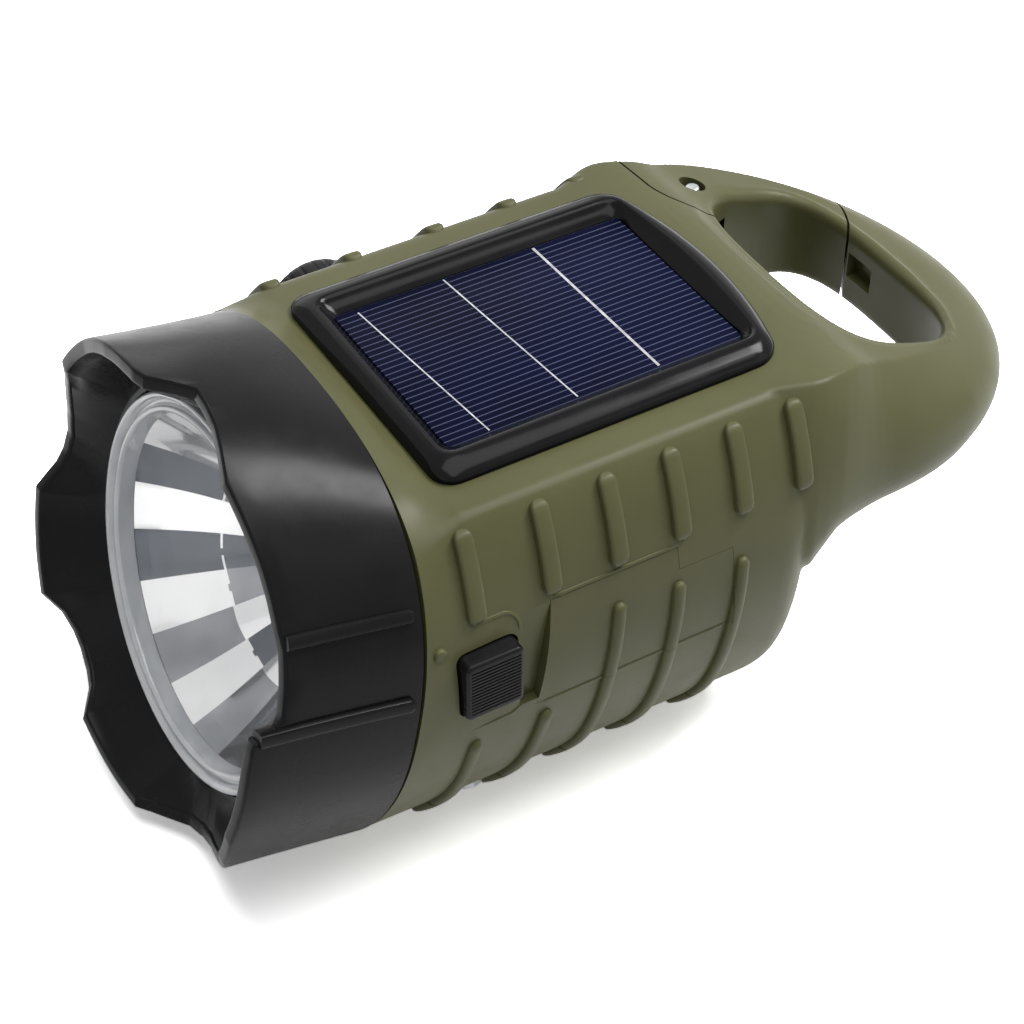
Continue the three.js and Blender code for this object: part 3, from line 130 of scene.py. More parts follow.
# A grid wrapped into a closed skin: place(i, j) gives each crossing
def wrapSkin(name, around, along, place, to=spot):
    bpy.ops.object.select_all(action="DESELECT")
    bpy.ops.mesh.primitive_grid_add(x_subdivisions=around, y_subdivisions=along, size=2)
    skin = bpy.context.object
    for vertex in skin.data.vertices:
        i = round((vertex.co.x + 1) / 2 * around)
        j = round((vertex.co.y + 1) / 2 * along)
        vertex.co = to(*place(i, j))
    return tidySkin(settle(skin, name))


# A flat outline pushed from low to high along the third direction
def plate(name, outline, low, high, to=spot):
    bpy.ops.object.select_all(action="DESELECT")
    bpy.ops.mesh.primitive_circle_add(vertices=len(outline), fill_type="NGON")
    piece = bpy.context.object
    for vertex, (a, b) in zip(piece.data.vertices, outline):
        vertex.co = to(a, b, low)
    rise = to(0, 0, high) - to(0, 0, low)
    bpy.ops.object.mode_set(mode="EDIT")
    bpy.ops.mesh.select_all(action="SELECT")
    bpy.ops.mesh.extrude_region_move(TRANSFORM_OT_translate={"value": rise})
    bpy.ops.object.mode_set(mode="OBJECT")
    return tidySkin(settle(piece, name))


def block(name, low, high, to=spot):
    bpy.ops.object.select_all(action="DESELECT")
    bpy.ops.mesh.primitive_cube_add(size=1)
    piece = bpy.context.object
    for vertex in piece.data.vertices:
        corner = [mix(low[k], high[k], vertex.co[k] + 0.5) for k in range(3)]
        vertex.co = to(*corner)
    return settle(piece, name)


def rod(name, radius, start, end, sides=64):
    a, b = spot(*start), spot(*end)
    bpy.ops.object.select_all(action="DESELECT")
    bpy.ops.mesh.primitive_cylinder_add(vertices=sides, radius=radius * mm, depth=(b - a).length)
    piece = bpy.context.object
    piece.rotation_mode = "QUATERNION"
    piece.rotation_quaternion = Vector((0, 0, 1)).rotation_difference(b - a)
    piece.location = (a + b) / 2
    return settle(piece, name)


# A closed profile of [along, radius] turned about the head's axis
def lathe(name, profile, sides=128, to=headSpot, wave=None):
    ring = profile + profile[:1]

    def place(i, j):
        turn = 2 * math.pi * i / sides
        along, radius = ring[j]
        if wave:
            radius *= wave(turn, along)
        return along, radius * math.cos(turn), radius * math.sin(turn)
    return wrapSkin(name, sides, len(profile), place, to)


def finishModifier(piece, kind, **settings):
    step = piece.modifiers.new(kind.lower(), kind)
    for key, value in settings.items():
        setattr(step, key, value)
    pickOnly(piece)
    bpy.ops.object.modifier_apply(modifier=step.name)
    return piece


def carve(piece, *tools, how="DIFFERENCE"):
    for tool in tools:
        finishModifier(piece, "BOOLEAN", operation=how, solver="MANIFOLD", object=tool)
        bpy.data.objects.remove(tool)
    return piece


def twin(piece, name):
    copied = piece.copy()
    copied.data = piece.data.copy()
    copied.name = copied.data.name = name
    bpy.context.scene.collection.objects.link(copied)
    return copied


def softEdges(piece, width=0.2, angle=40, segments=2):
    return finishModifier(piece, "BEVEL", width=width * mm, segments=segments, limit_method="ANGLE",
                          angle_limit=math.radians(angle), use_clamp_overlap=True)


def smoothShade(piece, angle=35):
    pickOnly(piece)
    bpy.ops.object.shade_smooth_by_angle(angle=math.radians(angle))
    return piece


def paint(piece, finish):
    piece.data.materials.clear()
    piece.data.materials.append(finish)
    return piece


# Finishes
def newFinish(name, colour, roughness, metallic=0.0):
    finish = bpy.data.materials.new(name)
    finish.use_nodes = True
    shader = finish.node_tree.nodes["Principled BSDF"]
    shader.inputs["Base Color"].default_value = (*colour, 1)
    shader.inputs["Roughness"].default_value = roughness
    shader.inputs["Metallic"].default_value = metallic
    return finish, finish.node_tree, shader


def objectNoise(tree, scale, detail=3.0, stretch=(1, 1, 1)):
    coords = tree.nodes.new("ShaderNodeTexCoord")
    mapping = tree.nodes.new("ShaderNodeMapping")
    mapping.inputs["Scale"].default_value = stretch
    noise = tree.nodes.new("ShaderNodeTexNoise")
    noise.inputs["Scale"].default_value = scale
    noise.inputs["Detail"].default_value = detail
    tree.links.new(coords.outputs["Object"], mapping.inputs["Vector"])
    tree.links.new(mapping.outputs["Vector"], noise.inputs["Vector"])
    return noise.outputs["Fac"]


def spread(tree, source, low, high):  # a noise as a narrow range of values
    ranged = tree.nodes.new("ShaderNodeMapRange")
    ranged.inputs["From Min"].default_value = 0.3
    ranged.inputs["From Max"].default_value = 0.7
    ranged.inputs["To Min"].default_value = low
    ranged.inputs["To Max"].default_value = high
    tree.links.new(source, ranged.inputs["Value"])
    return ranged.outputs["Result"]


def addBump(tree, shader, height, strength, distance):
    bump = tree.nodes.new("ShaderNodeBump")
    bump.inputs["Strength"].default_value = strength
    bump.inputs["Distance"].default_value = distance * mm
    tree.links.new(height, bump.inputs["Height"])
    tree.links.new(bump.outputs["Normal"], shader.inputs["Normal"])


def addTint(tree, shader, source, dark, light):
    ramp = tree.nodes.new("ShaderNodeValToRGB")
    ramp.color_ramp.elements[0].position = 0.3
    ramp.color_ramp.elements[1].position = 0.7
    ramp.color_ramp.elements[0].color = (*dark, 1)
    ramp.color_ramp.elements[1].color = (*light, 1)
    tree.links.new(source, ramp.inputs["Fac"])
    tree.links.new(ramp.outputs["Color"], shader.inputs["Base Color"])


# Satin moulded plastic: faint colour drift, uneven sheen and a fine spark-eroded grain
def mouldedPlastic(name, dark, light, rough, grain, shine):
    finish, tree, shader = newFinish(name, light, sum(rough) / 2)
    addTint(tree, shader, objectNoise(tree, 60, 4), dark, light)
    tree.links.new(spread(tree, objectNoise(tree, 240, 5), *rough), shader.inputs["Roughness"])
    addBump(tree, shader, objectNoise(tree, 4200, 2), grain, 0.02)
    shader.inputs["Specular IOR Level"].default_value = shine
    return finish


def brushedMetal(name, dark, light, rough):
    finish, tree, shader = newFinish(name, light, sum(rough) / 2, 1.0)
    streaks = objectNoise(tree, 900, 3, (0.2, 1, 1))
    addTint(tree, shader, streaks, dark, light)
    tree.links.new(spread(tree, streaks, *rough), shader.inputs["Roughness"])
    addBump(tree, shader, streaks, 0.1, 0.01)
    return finish


# Name, darkest and lightest colour, range of roughness, grain and shine of each slot's plastic
plastics = {
    "olive_plastic": ("olivePlastic", (0.083, 0.083, 0.036), (0.096, 0.096, 0.043), (0.34, 0.44), 0.12, 0.2),
    "black_plastic": ("blackPlastic", (0.006, 0.006, 0.0063), (0.0085, 0.0085, 0.009), (0.22, 0.3), 0.08,
                      0.11),
    "gloss_black_plastic": ("glossBlack", (0.0035, 0.0035, 0.004), (0.006, 0.006, 0.007), (0.12, 0.2), 0.02,
                            0.12),
    "white_plastic": ("whitePlastic", (0.72, 0.72, 0.69), (0.8, 0.8, 0.77), (0.4, 0.5), 0.06, 0.2),
    "seal_rubber": ("sealRubber", (0.015, 0.015, 0.015), (0.024, 0.024, 0.024), (0.7, 0.85), 0.25, 0.2),
    "board_laminate": ("boardLaminate", (0.015, 0.1, 0.035), (0.025, 0.14, 0.05), (0.3, 0.4), 0.05, 0.2),
    "cell_wrap": ("cellWrap", (0.015, 0.13, 0.05), (0.025, 0.16, 0.065), (0.2, 0.3), 0.03, 0.2),
}
metals = {
    "steel_parts": ("plainSteel", (0.4, 0.41, 0.42), (0.55, 0.56, 0.57), (0.25, 0.4)),
    "aluminium_parts": ("plainAluminium", (0.58, 0.59, 0.6), (0.7, 0.71, 0.72), (0.3, 0.45)),
    "brass_parts": ("plainBrass", (0.45, 0.31, 0.11), (0.58, 0.42, 0.17), (0.25, 0.4)),
    "copper_wire": ("copperWire", (0.4, 0.15, 0.06), (0.55, 0.22, 0.09), (0.25, 0.35)),
}
finishes = {slot: mouldedPlastic(*look) for slot, look in plastics.items()}
finishes.update({slot: brushedMetal(*look) for slot, look in metals.items()})


# Vacuum-coated mirror: each petal shows one of these tones, drifting a little along it; the darker tones are
# painted reflections
def mirrorFinish(name, dark, light):
    finish, tree, shader = newFinish(name, light, 0.12, 1.0)
    addTint(tree, shader, objectNoise(tree, 95, 3), dark, light)
    tree.links.new(spread(tree, objectNoise(tree, 160, 3), 0.06, 0.16), shader.inputs["Roughness"])
    addBump(tree, shader, objectNoise(tree, 120, 2), 0.03, 0.3)
    return finish


def clearFinish():
    finish, tree, shader = newFinish("clearLens", (0.93, 0.95, 0.96), 0.03)
    shader.inputs["Alpha"].default_value = 0.1
    shader.inputs["IOR"].default_value = 1.49
    addBump(tree, shader, objectNoise(tree, 90, 2), 0.03, 0.2)
    return finish


def frostedRing():
    finish, tree, shader = newFinish("frostedRing", (0.55, 0.58, 0.63), 0.1)
    addTint(tree, shader, objectNoise(tree, 110, 4), (0.6, 0.63, 0.67), (0.88, 0.9, 0.92))
    tree.links.new(spread(tree, objectNoise(tree, 300, 3), 0.06, 0.18), shader.inputs["Roughness"])
    addBump(tree, shader, objectNoise(tree, 420, 3), 0.08, 0.1)
    shader.inputs["Coat Weight"].default_value = 0.8
    return finish


# Each bar: where it starts on the far side, where it ends on the near side, half its width
solar = {"front": 25.96, "rear": 65.4, "half": 13.56, "top": 21.1, "fingers": 28, "fingerHalf": 0.055,
         "bars": ((28.8, 12.8, 31.4, -13.3, 0.09), (40.6, 13.3, 43.0, -13.3, 0.1),
                  (53.1, 13.3, 54.0, -13.3, 0.17))}


def cellFinish():  # near-black navy with thin silver fingers along X
    finish, tree, shader = newFinish("solarCell", (0.003, 0.004, 0.018), 0.45)
    coords = tree.nodes.new("ShaderNodeTexCoord")
    parts = tree.nodes.new("ShaderNodeSeparateXYZ")
    tree.links.new(coords.outputs["Object"], parts.inputs["Vector"])

    def sum2(kind, a, b):
        step = tree.nodes.new("ShaderNodeMath")
        step.operation = kind
        for socket, value in zip(step.inputs, (a, b)):
            if isinstance(value, (int, float)):
                socket.default_value = value
            else:
                tree.links.new(value, socket)
        return step.outputs["Value"]
    pitch = 2 * solar["half"] * mm / solar["fingers"]
    across = sum2("DIVIDE", parts.outputs["Y"], pitch)
    away = sum2("ABSOLUTE", sum2("SUBTRACT", sum2("FRACT", sum2("ADD", across, 100.5), 0.0), 0.5), 0.0)
    line = sum2("LESS_THAN", away, solar["fingerHalf"] * mm / pitch * 1.3)
    cloud = objectNoise(tree, 45, 3)
    silicon = tree.nodes.new("ShaderNodeValToRGB")
    silicon.color_ramp.elements[0].position = 0.35
    silicon.color_ramp.elements[1].position = 0.65
    silicon.color_ramp.elements[0].color = (0.0018, 0.0022, 0.011, 1)
    silicon.color_ramp.elements[1].color = (0.0034, 0.0046, 0.024, 1)
    tree.links.new(cloud, silicon.inputs["Fac"])
    blend = tree.nodes.new("ShaderNodeMix")
    blend.data_type = "RGBA"
    blend.inputs["B"].default_value = (0.07, 0.08, 0.14, 1)
    tree.links.new(silicon.outputs["Color"], blend.inputs["A"])
    tree.links.new(line, blend.inputs["Factor"])
    tree.links.new(blend.outputs["Result"], shader.inputs["Base Color"])
    addBump(tree, shader, line, 0.2, 0.02)
    shader.inputs["Specular IOR Level"].default_value = 0.03
    return finish


# The plain bright mirror coat, then grey and slate tones that are painted reflections on the petals
mirrorCoatAndPaintedReflections = [mirrorFinish("mirrorCoat", (0.84, 0.84, 0.85), (0.98, 0.98, 0.98)),
               mirrorFinish("mirrorPaintedGreyReflection", (0.2, 0.21, 0.23), (0.42, 0.43, 0.45)),
               mirrorFinish("mirrorPaintedSlateReflection", (0.05, 0.06, 0.075), (0.13, 0.145, 0.17))]
finishes["mirror_coat"] = mirrorCoatAndPaintedReflections[0]
finishes["clear_plastic"] = clearFinish()
finishes["cell_glass"] = cellFinish()
silverPrint = brushedMetal("silverPrint", (0.35, 0.36, 0.38), (0.6, 0.61, 0.63), (0.3, 0.4))
ringPlastic = frostedRing()
print("finishes ready")

# Crown, in the head's frame
crown = {"back": 11.3, "halfWidth": 31.6, "top": 28.4, "bottom": 31.2, "outlinePower": 2.5, "rim": 31.2,
         "rimWall": 1.8, "tipAhead": 9.2, "cup": 25, "bore": 24.3, "neckBore": 26.5, "boreDepth": 3.4,
         "edge": 0.42, "step": 1.0, "backBand": 0.3}
rimKnots = (  # degrees from the near side over the top, and how far ahead of the lens the rim stands there
    (0, 9.2), (3, 9.15), (8, 8.9), (10.3, 8.6), (12.2, 5.9), (14.5, 5.3), (21, 4.9), (28, 4.65), (32, 4.9),
    (38.8, 5.05), (44.8, 5.25), (55.4, 5.85), (63.2, 6.3), (66.5, 5.9), (70.2, 5.4), (76.7, 4.65),
    (81.8, 4.4), (86.7, 4.3), (90.3, 6.4), (93.6, 8.7), (97, 9.1), (103, 9.0), (113, 8.6), (122, 8.0),
    (130, 7.4), (139, 7.1), (147, 6.9), (154, 5.6), (161, 4.6), (168, 3.7), (175, 3.15), (180, 3.5),
    (183.5, 4.3), (189, 6.9), (197, 7.2), (205.5, 7.45), (215, 7.6), (220.3, 5.4), (225, 4.5), (229.5, 4.15),
    (235, 4.2), (239, 4.6), (246, 6.75), (253, 6.5), (260, 6.3), (269.8, 5.9), (272.5, 5.8), (275.5, 4.4),
    (279.6, 2.9), (284, 1.5), (290, 1.3), (296, 1.8), (303, 3.0), (311, 4.4), (320, 6.2), (329, 7.9),
    (341, 9.1), (350, 9.2), (360, 9.2))
# Each ridge: its turn in degrees and the head x at which it starts
ridges = {"places": ((11.3, -8.1), (30, -4.4)), "width": 1.7, "rise": 0.75, "root": 1.5, "back": 10.4}


def seamPoint(turn, x, inset=0.0):
    above = math.sin(turn) >= 0
    exponent = 2 / crown["outlinePower"] if above else 1
    height = (crown["top"] if above else crown["bottom"]) - inset
    y = (crown["halfWidth"] - inset) * signedPower(math.cos(turn), exponent)
    return Vector((x, y, height * signedPower(math.sin(turn), exponent)))


def crownTurns():  # a column at each knot of the rim and about every degree between
    turns = []
    for (start, _), (end, _) in zip(rimKnots, rimKnots[1:]):
        steps = math.ceil((end - start) / crown["step"])
        turns += [mix(start, end, k / steps) for k in range(steps)]
    return turns


def crownOutside(turn, x):
    c = crown
    share = clamp((x + c["tipAhead"]) / (c["back"] + c["tipAhead"])) ** 2
    circle = Vector((x, c["rim"] * math.cos(turn), c["rim"] * math.sin(turn)))
    return circle.lerp(seamPoint(turn, x), share)


def crownProfile(degrees):
    turn = math.radians(180 - degrees)
    front = -readLine(rimKnots, degrees)
    c, edge = crown, crown["edge"]

    def ring(x, radius):
        return Vector((x, radius * math.cos(turn), radius * math.sin(turn)))
    lip = c["rim"] - c["rimWall"]
    points = [crownOutside(turn, c["back"]), crownOutside(turn, c["back"] - c["backBand"])]
    points += [crownOutside(turn, mix(c["back"] - c["backBand"], front + edge, k / 8)) for k in range(1, 9)]
    for k in range(1, 4):
        a = math.radians(90 * k / 4)
        points.append(ring(front + edge * (1 - math.sin(a)), c["rim"] - edge * (1 - math.cos(a))))
    points += [ring(front, c["rim"] - edge), ring(front, lip + edge)]
    for k in range(1, 4):
        a = math.radians(90 * k / 4)
        points.append(ring(front + edge * (1 - math.cos(a)), lip + edge * (1 - math.sin(a))))
    points += [ring(mix(front + edge, 0, k / 6), mix(lip, c["cup"], k / 6)) for k in range(7)]
    points += [ring(0, c["bore"]), ring(c["boreDepth"], c["bore"]), ring(c["boreDepth"], c["neckBore"]),
               ring(c["back"], c["neckBore"])]
    return points


def makeCrown():
    profiles = [crownProfile(degrees) for degrees in crownTurns()]
    around, count = len(profiles), len(profiles[0])

    def place(i, j):
        return profiles[i % around][j % count]
    piece = wrapSkin("crownBody", around, count, place, headSpot)
    for degrees, front in ridges["places"]:
        carve(piece, crownRidge(degrees, front), how="UNION")
    return smoothShade(paint(settle(piece, "bezelCrown"), finishes["black_plastic"]), 30)


def crownRidge(degrees, front):  # a bar along the crown, square at the rim and round at the back
    turn = math.radians(180 - degrees)
    across = Vector((0, -math.sin(turn), math.cos(turn)))
    back, steps, sides = ridges["back"], 40, 16

    def place(i, j):
        share = clamp((j - 1) / (steps - 2))
        x = mix(front, back, share * (2 - share))
        toEnd = clamp((back - x) / (ridges["width"] / 2), 0.04)
        half = ridges["width"] / 2 * math.sqrt(1 - (1 - toEnd) ** 2)
        a = 2 * math.pi * i / sides
        out = signedPower(math.sin(a), 0.5)
        level, shift = math.hypot(*crownOutside(turn, x).yz), 0.0
        if 0 < j < steps:
            level += out * (ridges["rise"] if out > 0 else ridges["root"])
            shift = half * signedPower(math.cos(a), 0.5)
        return x, level * math.cos(turn) + across.y * shift, level * math.sin(turn) + across.z * shift
    return wrapSkin("ridge", sides, steps, place, headSpot)


# Outer form of the shells: round body and tail loop blended into one skin, then ribs and fine lines
shell = {"radius": 31.2, "drop": 2.6, "dropRear": 3.6, "blend": 22, "cornerStart": 61.1, "rear": 66.6,
         "deck": 20.6, "deckBlend": 1.0, "wall": 2.2, "seam": -21.5, "ceiling": 18.2, "voxel": 0.34,
         "front": 11.75, "spare": 1.2, "around": 160, "frontWall": 2.4, "part": 0.1}
tail = {"centre": 88.5, "outerCentre": 78, "outerReach": 30, "outerHalf": 29.3, "outerPower": 2.2,
        "rootX": 56, "rootHalf": 27.5, "sideX": 64, "sideHalf": 30.9,
        "holeCentre": 88.1, "holeReach": 9.4, "holeHalf": 17.3, "holePower": 3.2,
        "creaseIn": 7.8, "creaseFar": 4.2, "creaseTurn": math.radians(55), "belly": 6.2, "under": -1,
        "underTip": 1.0, "tip": 108, "innerRound": 1.5, "innerUnder": 1.2, "fillet": 4, "around": 150}
tailTops = ((60, 20.6), (70, 20.6), (75, 19.5), (79, 17.6), (85, 15.4), (90, 13.6), (95, 12), (100, 10.6),
            (104, 9.2), (108, 7.8))


def bodyPoint(turn, x, inset=0.0, pull=0.0):
    share = clamp((x - shell["blend"]) / (shell["rear"] - shell["blend"]))
    drop = mix(shell["drop"], shell["dropRear"], share)
    radius = shell["radius"] - inset - pull
    z = radius * math.sin(turn) - drop * ease(-2 * math.sin(turn))
    z = softMin(z, shell["deck"] - inset, shell["deckBlend"])
    z = -softMin(-z, body["lensHeight"] - inset, 0.6)
    return Vector((x, radius * math.cos(turn), z))


def bodyRings(inset=0.0, back=0.0):  # from the tilted front to the rounded rear
    around = shell["around"]
    turns = [2 * math.pi * i / around for i in range(around)]
    tilt = Matrix.Rotation(body["headPitch"], 3, "Y")
    frontX = shell["front"] + (shell["frontWall"] if inset else -shell["spare"])
    headRing = [tilt @ seamPoint(t, frontX, inset) for t in turns]
    blendRing = [bodyPoint(t, shell["blend"], inset) for t in turns]
    rings = [headRing]
    rings += [[a.lerp(b, ease(k / 6) * 0.35 + k / 6 * 0.65) for a, b in zip(headRing, blendRing)]
              for k in range(1, 6)]
    x = shell["blend"]
    while x < shell["cornerStart"] - back:
        rings.append([bodyPoint(t, x, inset) for t in turns])
        x += 1.3
    corner = shell["rear"] - shell["cornerStart"]
    for k in range(9):
        a = math.radians(90 * k / 8)
        x = shell["cornerStart"] - back + corner * math.sin(a)
        rings.append([bodyPoint(t, x, inset, corner * (1 - math.cos(a)) * cornerShare(t)) for t in turns])
    return rings


def cornerShare(turn):  # the rear corner is round low down and nearly square under the tail
    return mix(1.0, 0.25, ease(math.sin(turn) * 3 + 0.2))


def makeRound(name, inset=0.0, back=0.0):
    rings = bodyRings(inset, back)
    around = len(rings[0])
    middles = [sum(ring, Vector()) / around for ring in (rings[0], rings[-1])]

    def place(i, j):
        if j == 0:
            return middles[0]
        if j > len(rings):
            return middles[1]
        return rings[j - 1][i % around]
    return wrapSkin(name, around, len(rings) + 1, place)


def tailUnder(x):
    share = clamp((x - tail["centre"]) / (tail["tip"] - tail["centre"]))
    level = mix(tail["under"], tail["underTip"], share)
    into = clamp((shell["rear"] + tail["fillet"] - x) / tail["fillet"])
    return level - tail["fillet"] * (1 - math.sqrt(1 - into * into))


def overOval(along, across, power):  # past an oval whose axes are one long
    return abs(along) ** power + abs(across) ** power > 1


def pastHole(x, y):
    t = tail
    return overOval((x - t["holeCentre"]) / t["holeReach"], y / t["holeHalf"], t["holePower"])


def pastTail(x, y):
    t = tail
    if x > t["outerCentre"]:
        return overOval((x - t["outerCentre"]) / t["outerReach"], y / t["outerHalf"], t["outerPower"])
    if x > t["sideX"]:
        half = mix(t["sideHalf"], t["outerHalf"], ease((x - t["sideX"]) / (t["outerCentre"] - t["sideX"])))
    else:
        half = mix(t["rootHalf"], t["sideHalf"], (x - t["rootX"]) / (t["sideX"] - t["rootX"]))
    return x < t["rootX"] or abs(y) > half


def reachTo(dx, dy, isPast):
    near, far = 0.0, 2 * tail["outerReach"]
    for _ in range(26):
        middle = (near + far) / 2
        if isPast(tail["centre"] + dx * middle, dy * middle):
            far = middle
        else:
            near = middle
    return near


def tailSection(turn):  # one closed section of the loop, out from the opening in one direction
    t = tail
    dx, dy = math.cos(turn), math.sin(turn)
    inner, outer = reachTo(dx, dy, pastHole), reachTo(dx, dy, pastTail)
    creaseIn = mix(t["creaseIn"], t["creaseFar"], max(0.0, dy) * clamp(1.6 + 2 * dx))
    crease = outer - creaseIn
    r, low = t["innerRound"], t["innerUnder"]

    def xAt(d):
        return t["centre"] + dx * d

    def top(d):
        return readCurve(tailTops, xAt(d))

    def under(d):
        return tailUnder(xAt(d))
    points = [(inner + r * (1 - math.cos(a)), top(inner) - r * (1 - math.sin(a)))
              for a in map(math.radians, (0, 22, 45, 67, 90))]
    points += [(d, top(d)) for d in (mix(inner + r, crease, k / 8) for k in range(1, 9))]
    belly = min(under(outer) + t["belly"], mix(under(outer), top(crease), 0.45))
    wide = creaseIn / (1 - math.cos(t["creaseTurn"]))
    tall = (top(crease) - belly) / math.sin(t["creaseTurn"])
    for k in range(1, 15):
        a = t["creaseTurn"] * (1 - k / 14)
        points.append((outer - wide * (1 - math.cos(a)), belly + tall * math.sin(a)))
    drop = belly - under(outer)
    for k in range(1, 9):
        a = math.radians(90 * k / 8)
        points.append((outer - drop * (1 - math.cos(a)), belly - drop * math.sin(a)))
    points += [(d, under(d)) for d in (mix(outer - drop, inner + low, k / 6) for k in range(1, 7))]
    points += [(inner + low * (1 - math.sin(a)), under(inner) + low * (1 - math.cos(a)))
               for a in map(math.radians, (30, 60, 90))]
    points += [(inner, mix(under(inner) + low, top(inner) - r, k / 5)) for k in range(1, 5)]
    return [Vector((xAt(d), dy * d, z)) for d, z in points]


def makeLoop():
    around = tail["around"]
    sections = [tailSection(2 * math.pi * i / around) for i in range(around)]
    count = len(sections[0])

    def place(i, j):
        return sections[i % around][j % count]
    return wrapSkin("tailLoop", around, count, place)


ribShape = {"root": 0.9, "steps": 30, "sides": 24}
# Width, rise and squareness of a section, then each rib's x at both ends and its turn at both ends
upperRibs = {"section": (2.3, 0.95, 0.42), "places": [
    (x, x - 0.9, 141, 161) for x in (21.2, 30.8, 39.5, 47.9, 56.4, 64.7)]}
lowerRibs = {"section": (1.7, 0.85, 0.8), "places": [
    (19.5, 16.3, 191, 227), (28.8, 25.5, 191, 227), (38.1, 34.4, 169.5, 227), (46.1, 43.4, 170.5, 227),
    (54.8, 52.6, 171, 227)]}
farRibs = {"section": (2.4, 0.8, 0.5), "places": [(x, x - 3, 43, 13) for x in (22.9, 34, 45.4, 55.8, 66.0)]}


def makeRib(name, section, startX, endX, startTurn, endTurn):
    width, height, square = section
    s = ribShape

    def place(i, j):
        share = (1 - math.cos(math.pi * j / s["steps"])) / 2
        turn = math.radians(mix(startTurn, endTurn, share))
        x = mix(startX, endX, share)
        length = abs(endTurn - startTurn) * math.pi / 180 * shell["radius"]
        toEnd = min(share, 1 - share) * length / (width * 0.5)
        narrow = math.sqrt(max(0.0, 1 - (1 - clamp(toEnd)) ** 2))
        a = 2 * math.pi * i / s["sides"]
        out = signedPower(math.sin(a), square)
        rise = (height * out if out > 0 else s["root"] * out) * max(narrow, 0.02)
        outward = Vector((0, math.cos(turn), math.sin(turn)))
        if j in (0, s["steps"]):
            return bodyPoint(turn, x) - outward * s["root"] / 2
        sideStep = Vector((width / 2 * signedPower(math.cos(a), square) * narrow, 0, 0))
        return bodyPoint(turn, x) + outward * rise + sideStep
    return wrapSkin(name, s["sides"], s["steps"], place)


# A thin raised line round the switch; start is the point of its outline where its ends meet
island = {"front": 16.6, "rear": 25.4, "bottom": -4.7, "top": 10.2, "round": 2.0, "start": 18}


def roundedOutline(x0, x1, z0, z1, radius, steps=6):
    points = []
    for cx, cz, start in ((x1 - radius, z0 + radius, 270), (x1 - radius, z1 - radius, 0),
                          (x0 + radius, z1 - radius, 90), (x0 + radius, z0 + radius, 180)):
        for k in range(steps + 1):
            a = math.radians(start + 90 * k / steps)
            points.append((cx + radius * math.cos(a), cz + radius * math.sin(a)))
    return points


def grownOutline(d, grow):  # the rounded outline in a piece's settings, grown by a clearance
    return roundedOutline(d["front"] - grow, d["rear"] + grow, d["bottom"] - grow, d["top"] + grow,
                          d["round"] + grow)


def sideways(a, b, c):  # outlines drawn on the near side: a along X, b up, c along Y
    return spot(a, c, b)


# The charging port's cover, and the fine raised lines along its edges
cover = {"frontTop": 29.6, "frontBottom": 27.4, "step": 46.3, "rear": 53.6, "top": 9.4, "stepTop": 6.6,
         "bottom": -4.8, "thick": 1.6, "gap": 0.05, "back": -25.8}
bead = {"half": 0.24, "rise": 0.16, "root": 0.4, "off": 0.3}


def coverOutline(grow):
    c = cover
    return [(c["frontBottom"] - grow, c["bottom"] - grow), (c["rear"] + grow, c["bottom"] - grow),
            (c["rear"] + grow, c["stepTop"] + grow), (c["step"] + grow, c["stepTop"] + grow),
            (c["step"] + grow, c["top"] + grow), (c["frontTop"] - grow, c["top"] + grow)]


def sidePoint(x, z):  # the point of the near side at this height, and the way out of it
    low, high = math.radians(100), math.radians(255)
    for _ in range(20):
        turn = (low + high) / 2
        if bodyPoint(turn, x).z > z:
            low = turn
        else:
            high = turn
    return bodyPoint(turn, x), Vector((0, math.cos(turn), math.sin(turn)))


def beadPaths():  # round the switch, and along the cover's top and bottom
    d, c, off = island, cover, bead["off"]
    ring = grownOutline(d, 0)
    ends = ((c["frontTop"], c["top"] + off, c["step"], c["top"] + off),
            (c["frontBottom"], c["bottom"] - off, c["rear"], c["bottom"] - off))
    lines = [[(mix(x0, x1, k / 24), mix(z0, z1, k / 24)) for k in range(25)] for x0, z0, x1, z1 in ends]
    return [ring[d["start"]:] + ring[:d["start"] + 1]] + lines


def makeBead(path):  # a low bar bent along the near side
    last = len(path) - 1

    def place(i, j):
        (x, z), (x0, z0), (x1, z1) = path[j], path[max(j - 1, 0)], path[min(j + 1, last)]
        point, out = sidePoint(x, z)
        if j in (0, last):
            return point - out * bead["root"] / 2
        along = (sidePoint(x1, z1)[0] - sidePoint(x0, z0)[0]).normalized()
        side = along.cross(out).normalized() * bead["half"]
        a = 2 * math.pi * i / 8
        height = math.sin(a) * (bead["rise"] if math.sin(a) > 0 else bead["root"])
        return point + out * height + side * math.cos(a)
    return wrapSkin("bead", 8, last, place)


def makeForm():
    pieces = [makeRound("roundBody"), makeLoop()]
    bpy.ops.object.select_all(action="DESELECT")
    for piece in pieces:
        piece.select_set(True)
    bpy.context.view_layer.objects.active = pieces[0]
    bpy.ops.object.join()
    form = bpy.context.object
    finishModifier(form, "REMESH", mode="VOXEL", voxel_size=shell["voxel"] * mm, adaptivity=0.0)
    finishModifier(form, "SMOOTH", factor=0.5, iterations=2)
    finishModifier(form, "DECIMATE", ratio=0.4)
    for ribs in (upperRibs, lowerRibs, farRibs):
        for place in ribs["places"]:
            carve(form, makeRib("rib", ribs["section"], *place), how="UNION")
    for path in beadPaths():
        carve(form, makeBead(path), how="UNION")
    carve(form, block("frontCut", (-20, -60, -60), (shell["front"], 60, 60), headSpot))
    return settle(form, "outerForm")


form = makeForm()
print("outer form", len(form.data.polygons), "faces")

